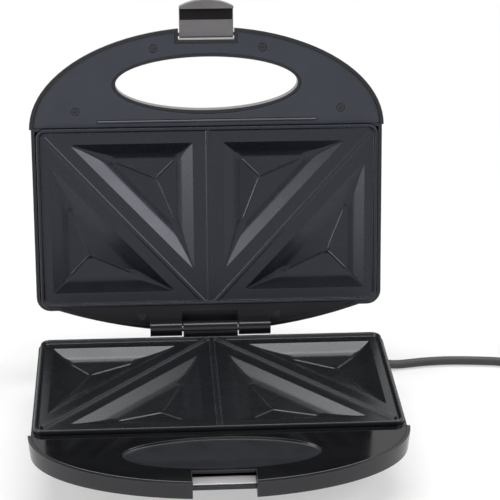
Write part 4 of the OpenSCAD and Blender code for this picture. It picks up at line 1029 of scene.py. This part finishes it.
def white_surround(strength, ceiling, flags):
    """World: white to the camera, gloss and glass, but for a dark ceiling and two dark
    flags round the camera that only gloss and glass find"""
    world = bpy.data.worlds.new("studio_surround")
    world.use_nodes = True
    world.node_tree.nodes.clear()
    desk = NodeDesk(world.node_tree)
    rays = desk.add("ShaderNodeLightPath").outputs
    direction = desk.add("ShaderNodeTexCoord").outputs["Generated"]
    parts = desk.add("ShaderNodeSeparateXYZ", Vector=direction).outputs
    from_flag = desk.math("ABSOLUTE", desk.math(
        "SUBTRACT", desk.math("ABSOLUTE", parts["X"]), FLAG_PLACE))
    beside = desk.math("MAXIMUM", desk.span(from_flag, *FLAG_EDGE, flags, 1.0),
                       desk.span(parts["Z"], *FLAG_TOP, 0.0, 1.0))
    ahead = desk.math("MULTIPLY", beside, desk.span(parts["Z"], *CEILING_EDGE, 1.0, ceiling))
    in_gloss = desk.math("MAXIMUM", ahead, desk.span(parts["Y"], *BEHIND, 0.0, 1.0))
    soft, mirrored, plain = (
        desk.add("ShaderNodeBackground", Color=WHITE, Strength=value).outputs[0]
        for value in (strength, in_gloss, 1.0))
    shows = desk.math("MAXIMUM", rays["Is Glossy Ray"], rays["Is Transmission Ray"])
    seen = desk.mix_shaders(rays["Is Camera Ray"],
                            desk.mix_shaders(shows, soft, mirrored), plain)
    desk.add("ShaderNodeOutputWorld", Surface=seen)
    bpy.context.scene.world = world


def floor_finish(lift):
    """Pale floor that keeps shadows and turns plain white further off"""
    desk = FinishDesk("pale_floor")
    tone = desk.blend(desk.clouds(6.0, 3.0), scaled(WHITE, 0.88), scaled(WHITE, 0.91))
    desk.finish(Base_Color=tone, Roughness=1.0, Specular_IOR_Level=0.0)
    rays = desk.add("ShaderNodeLightPath").outputs
    shows = desk.math("MAXIMUM", rays["Is Camera Ray"], rays["Is Glossy Ray"])
    shows = desk.math("MAXIMUM", shows, rays["Is Transmission Ray"])
    away = desk.math("LENGTH", desk.place, kind="ShaderNodeVectorMath")
    white = desk.math("MULTIPLY", shows, desk.span(away, *FLOOR_WHITENS, lift, 1.0))
    glow = desk.add("ShaderNodeEmission", Color=WHITE, Strength=1.0)
    out = next(n for n in desk.tree.nodes if n.type == "OUTPUT_MATERIAL")
    desk.put(desk.mix_shaders(white, desk.shader.outputs[0], glow.outputs[0]),
             out.inputs["Surface"])
    return desk.material


def draw_floor(material):
    """Flat floor that curves up into a backdrop far behind"""
    section = [(FLOOR_FRONT, 0.0), (CURVE_FROM, 0.0)]
    section += [(CURVE_FROM + CURVE_RADIUS * math.sin(math.radians(a)),
                 CURVE_RADIUS - CURVE_RADIUS * math.cos(math.radians(a)))
                for a in range(10, 91, 10)]
    section.append((CURVE_FROM + CURVE_RADIUS, BACKDROP_TOP))
    points = [(x, y, z) for y, z in section for x in (-FLOOR_HALF, FLOOR_HALF)]
    faces = [(i, i + 1, i + 3, i + 2) for i in range(0, len(points) - 2, 2)]
    mesh = bpy.data.meshes.new("studio_floor")
    mesh.from_pydata(points, [], faces)
    mesh.shade_smooth()
    mesh.materials.append(material)
    return put_in_scene("studio_floor", mesh)


class TOASTER_OT_stage(bpy.types.Operator):
    """Set the floor, the soft studio light and the camera"""

    bl_idname = "toaster.stage"
    bl_label = "Stage"

    def execute(self, context):
        scene = context.scene
        studio = scene.toaster_studio
        scene.view_settings.view_transform = "Standard"
        white_surround(studio.surround, studio.ceiling, studio.flags)
        draw_floor(floor_finish(studio.floor_lift))
        for name, *place in SOFTBOXES:
            softbox(f"{name}_softbox", *place, getattr(studio, name))

        data = bpy.data.cameras.new("camera")
        data.lens, data.sensor_width = CAMERA_LENS, 36.0
        data.shift_x, data.shift_y = CAMERA_SHIFT
        data.clip_start, data.clip_end = 0.05, 50.0
        scene.camera = put_in_scene("camera", data)
        tilt, turn, roll = (math.radians(a) for a in CAMERA_TURNS)
        scene.camera.matrix_world = (
            Matrix.Translation(Vector(CAMERA_PLACE) + Vector((0.0, PLATE_BACK, 0.0)))
            @ Matrix.Rotation(-turn, 4, "Z") @ Matrix.Rotation(math.pi / 2 - tilt, 4, "X")
            @ Matrix.Rotation(roll, 4, "Z"))
        return {"FINISHED"}


# -------------------- panel and registration

OPERATORS = [
    TOASTER_OT_stage, TOASTER_OT_cooking_plates, TOASTER_OT_handle_deck,
    TOASTER_OT_casings, TOASTER_OT_latch, TOASTER_OT_fasteners,
    TOASTER_OT_indicator_lights, TOASTER_OT_inner_fittings, TOASTER_OT_mains_cord]


class TOASTER_PT_pieces(bpy.types.Panel):
    """Lists the toaster's pieces"""

    bl_idname = "TOASTER_PT_pieces"
    bl_label = "Sandwich Toaster"
    bl_space_type = "VIEW_3D"
    bl_region_type = "UI"
    bl_category = "Toaster"

    def draw(self, context):
        for operator in OPERATORS:
            self.layout.operator(operator.bl_idname)
        for name, group in SETTINGS.items():
            box = self.layout.box()
            box.label(text=group.__doc__)
            for key in group.__annotations__:
                box.prop(getattr(context.scene, name), key)


def register():
    for name, group in SETTINGS.items():
        bpy.utils.register_class(group)
        setattr(bpy.types.Scene, name, bpy.props.PointerProperty(type=group))
    for listed in (*OPERATORS, TOASTER_PT_pieces):
        bpy.utils.register_class(listed)


def unregister():
    for listed in (TOASTER_PT_pieces, *reversed(OPERATORS)):
        bpy.utils.unregister_class(listed)
    for name, group in reversed(SETTINGS.items()):
        delattr(bpy.types.Scene, name)
        bpy.utils.unregister_class(group)


def main():
    register()
    for operator in OPERATORS:
        group, name = operator.bl_idname.split(".")
        getattr(getattr(bpy.ops, group), name)()


if __name__ == "__main__":
    main()
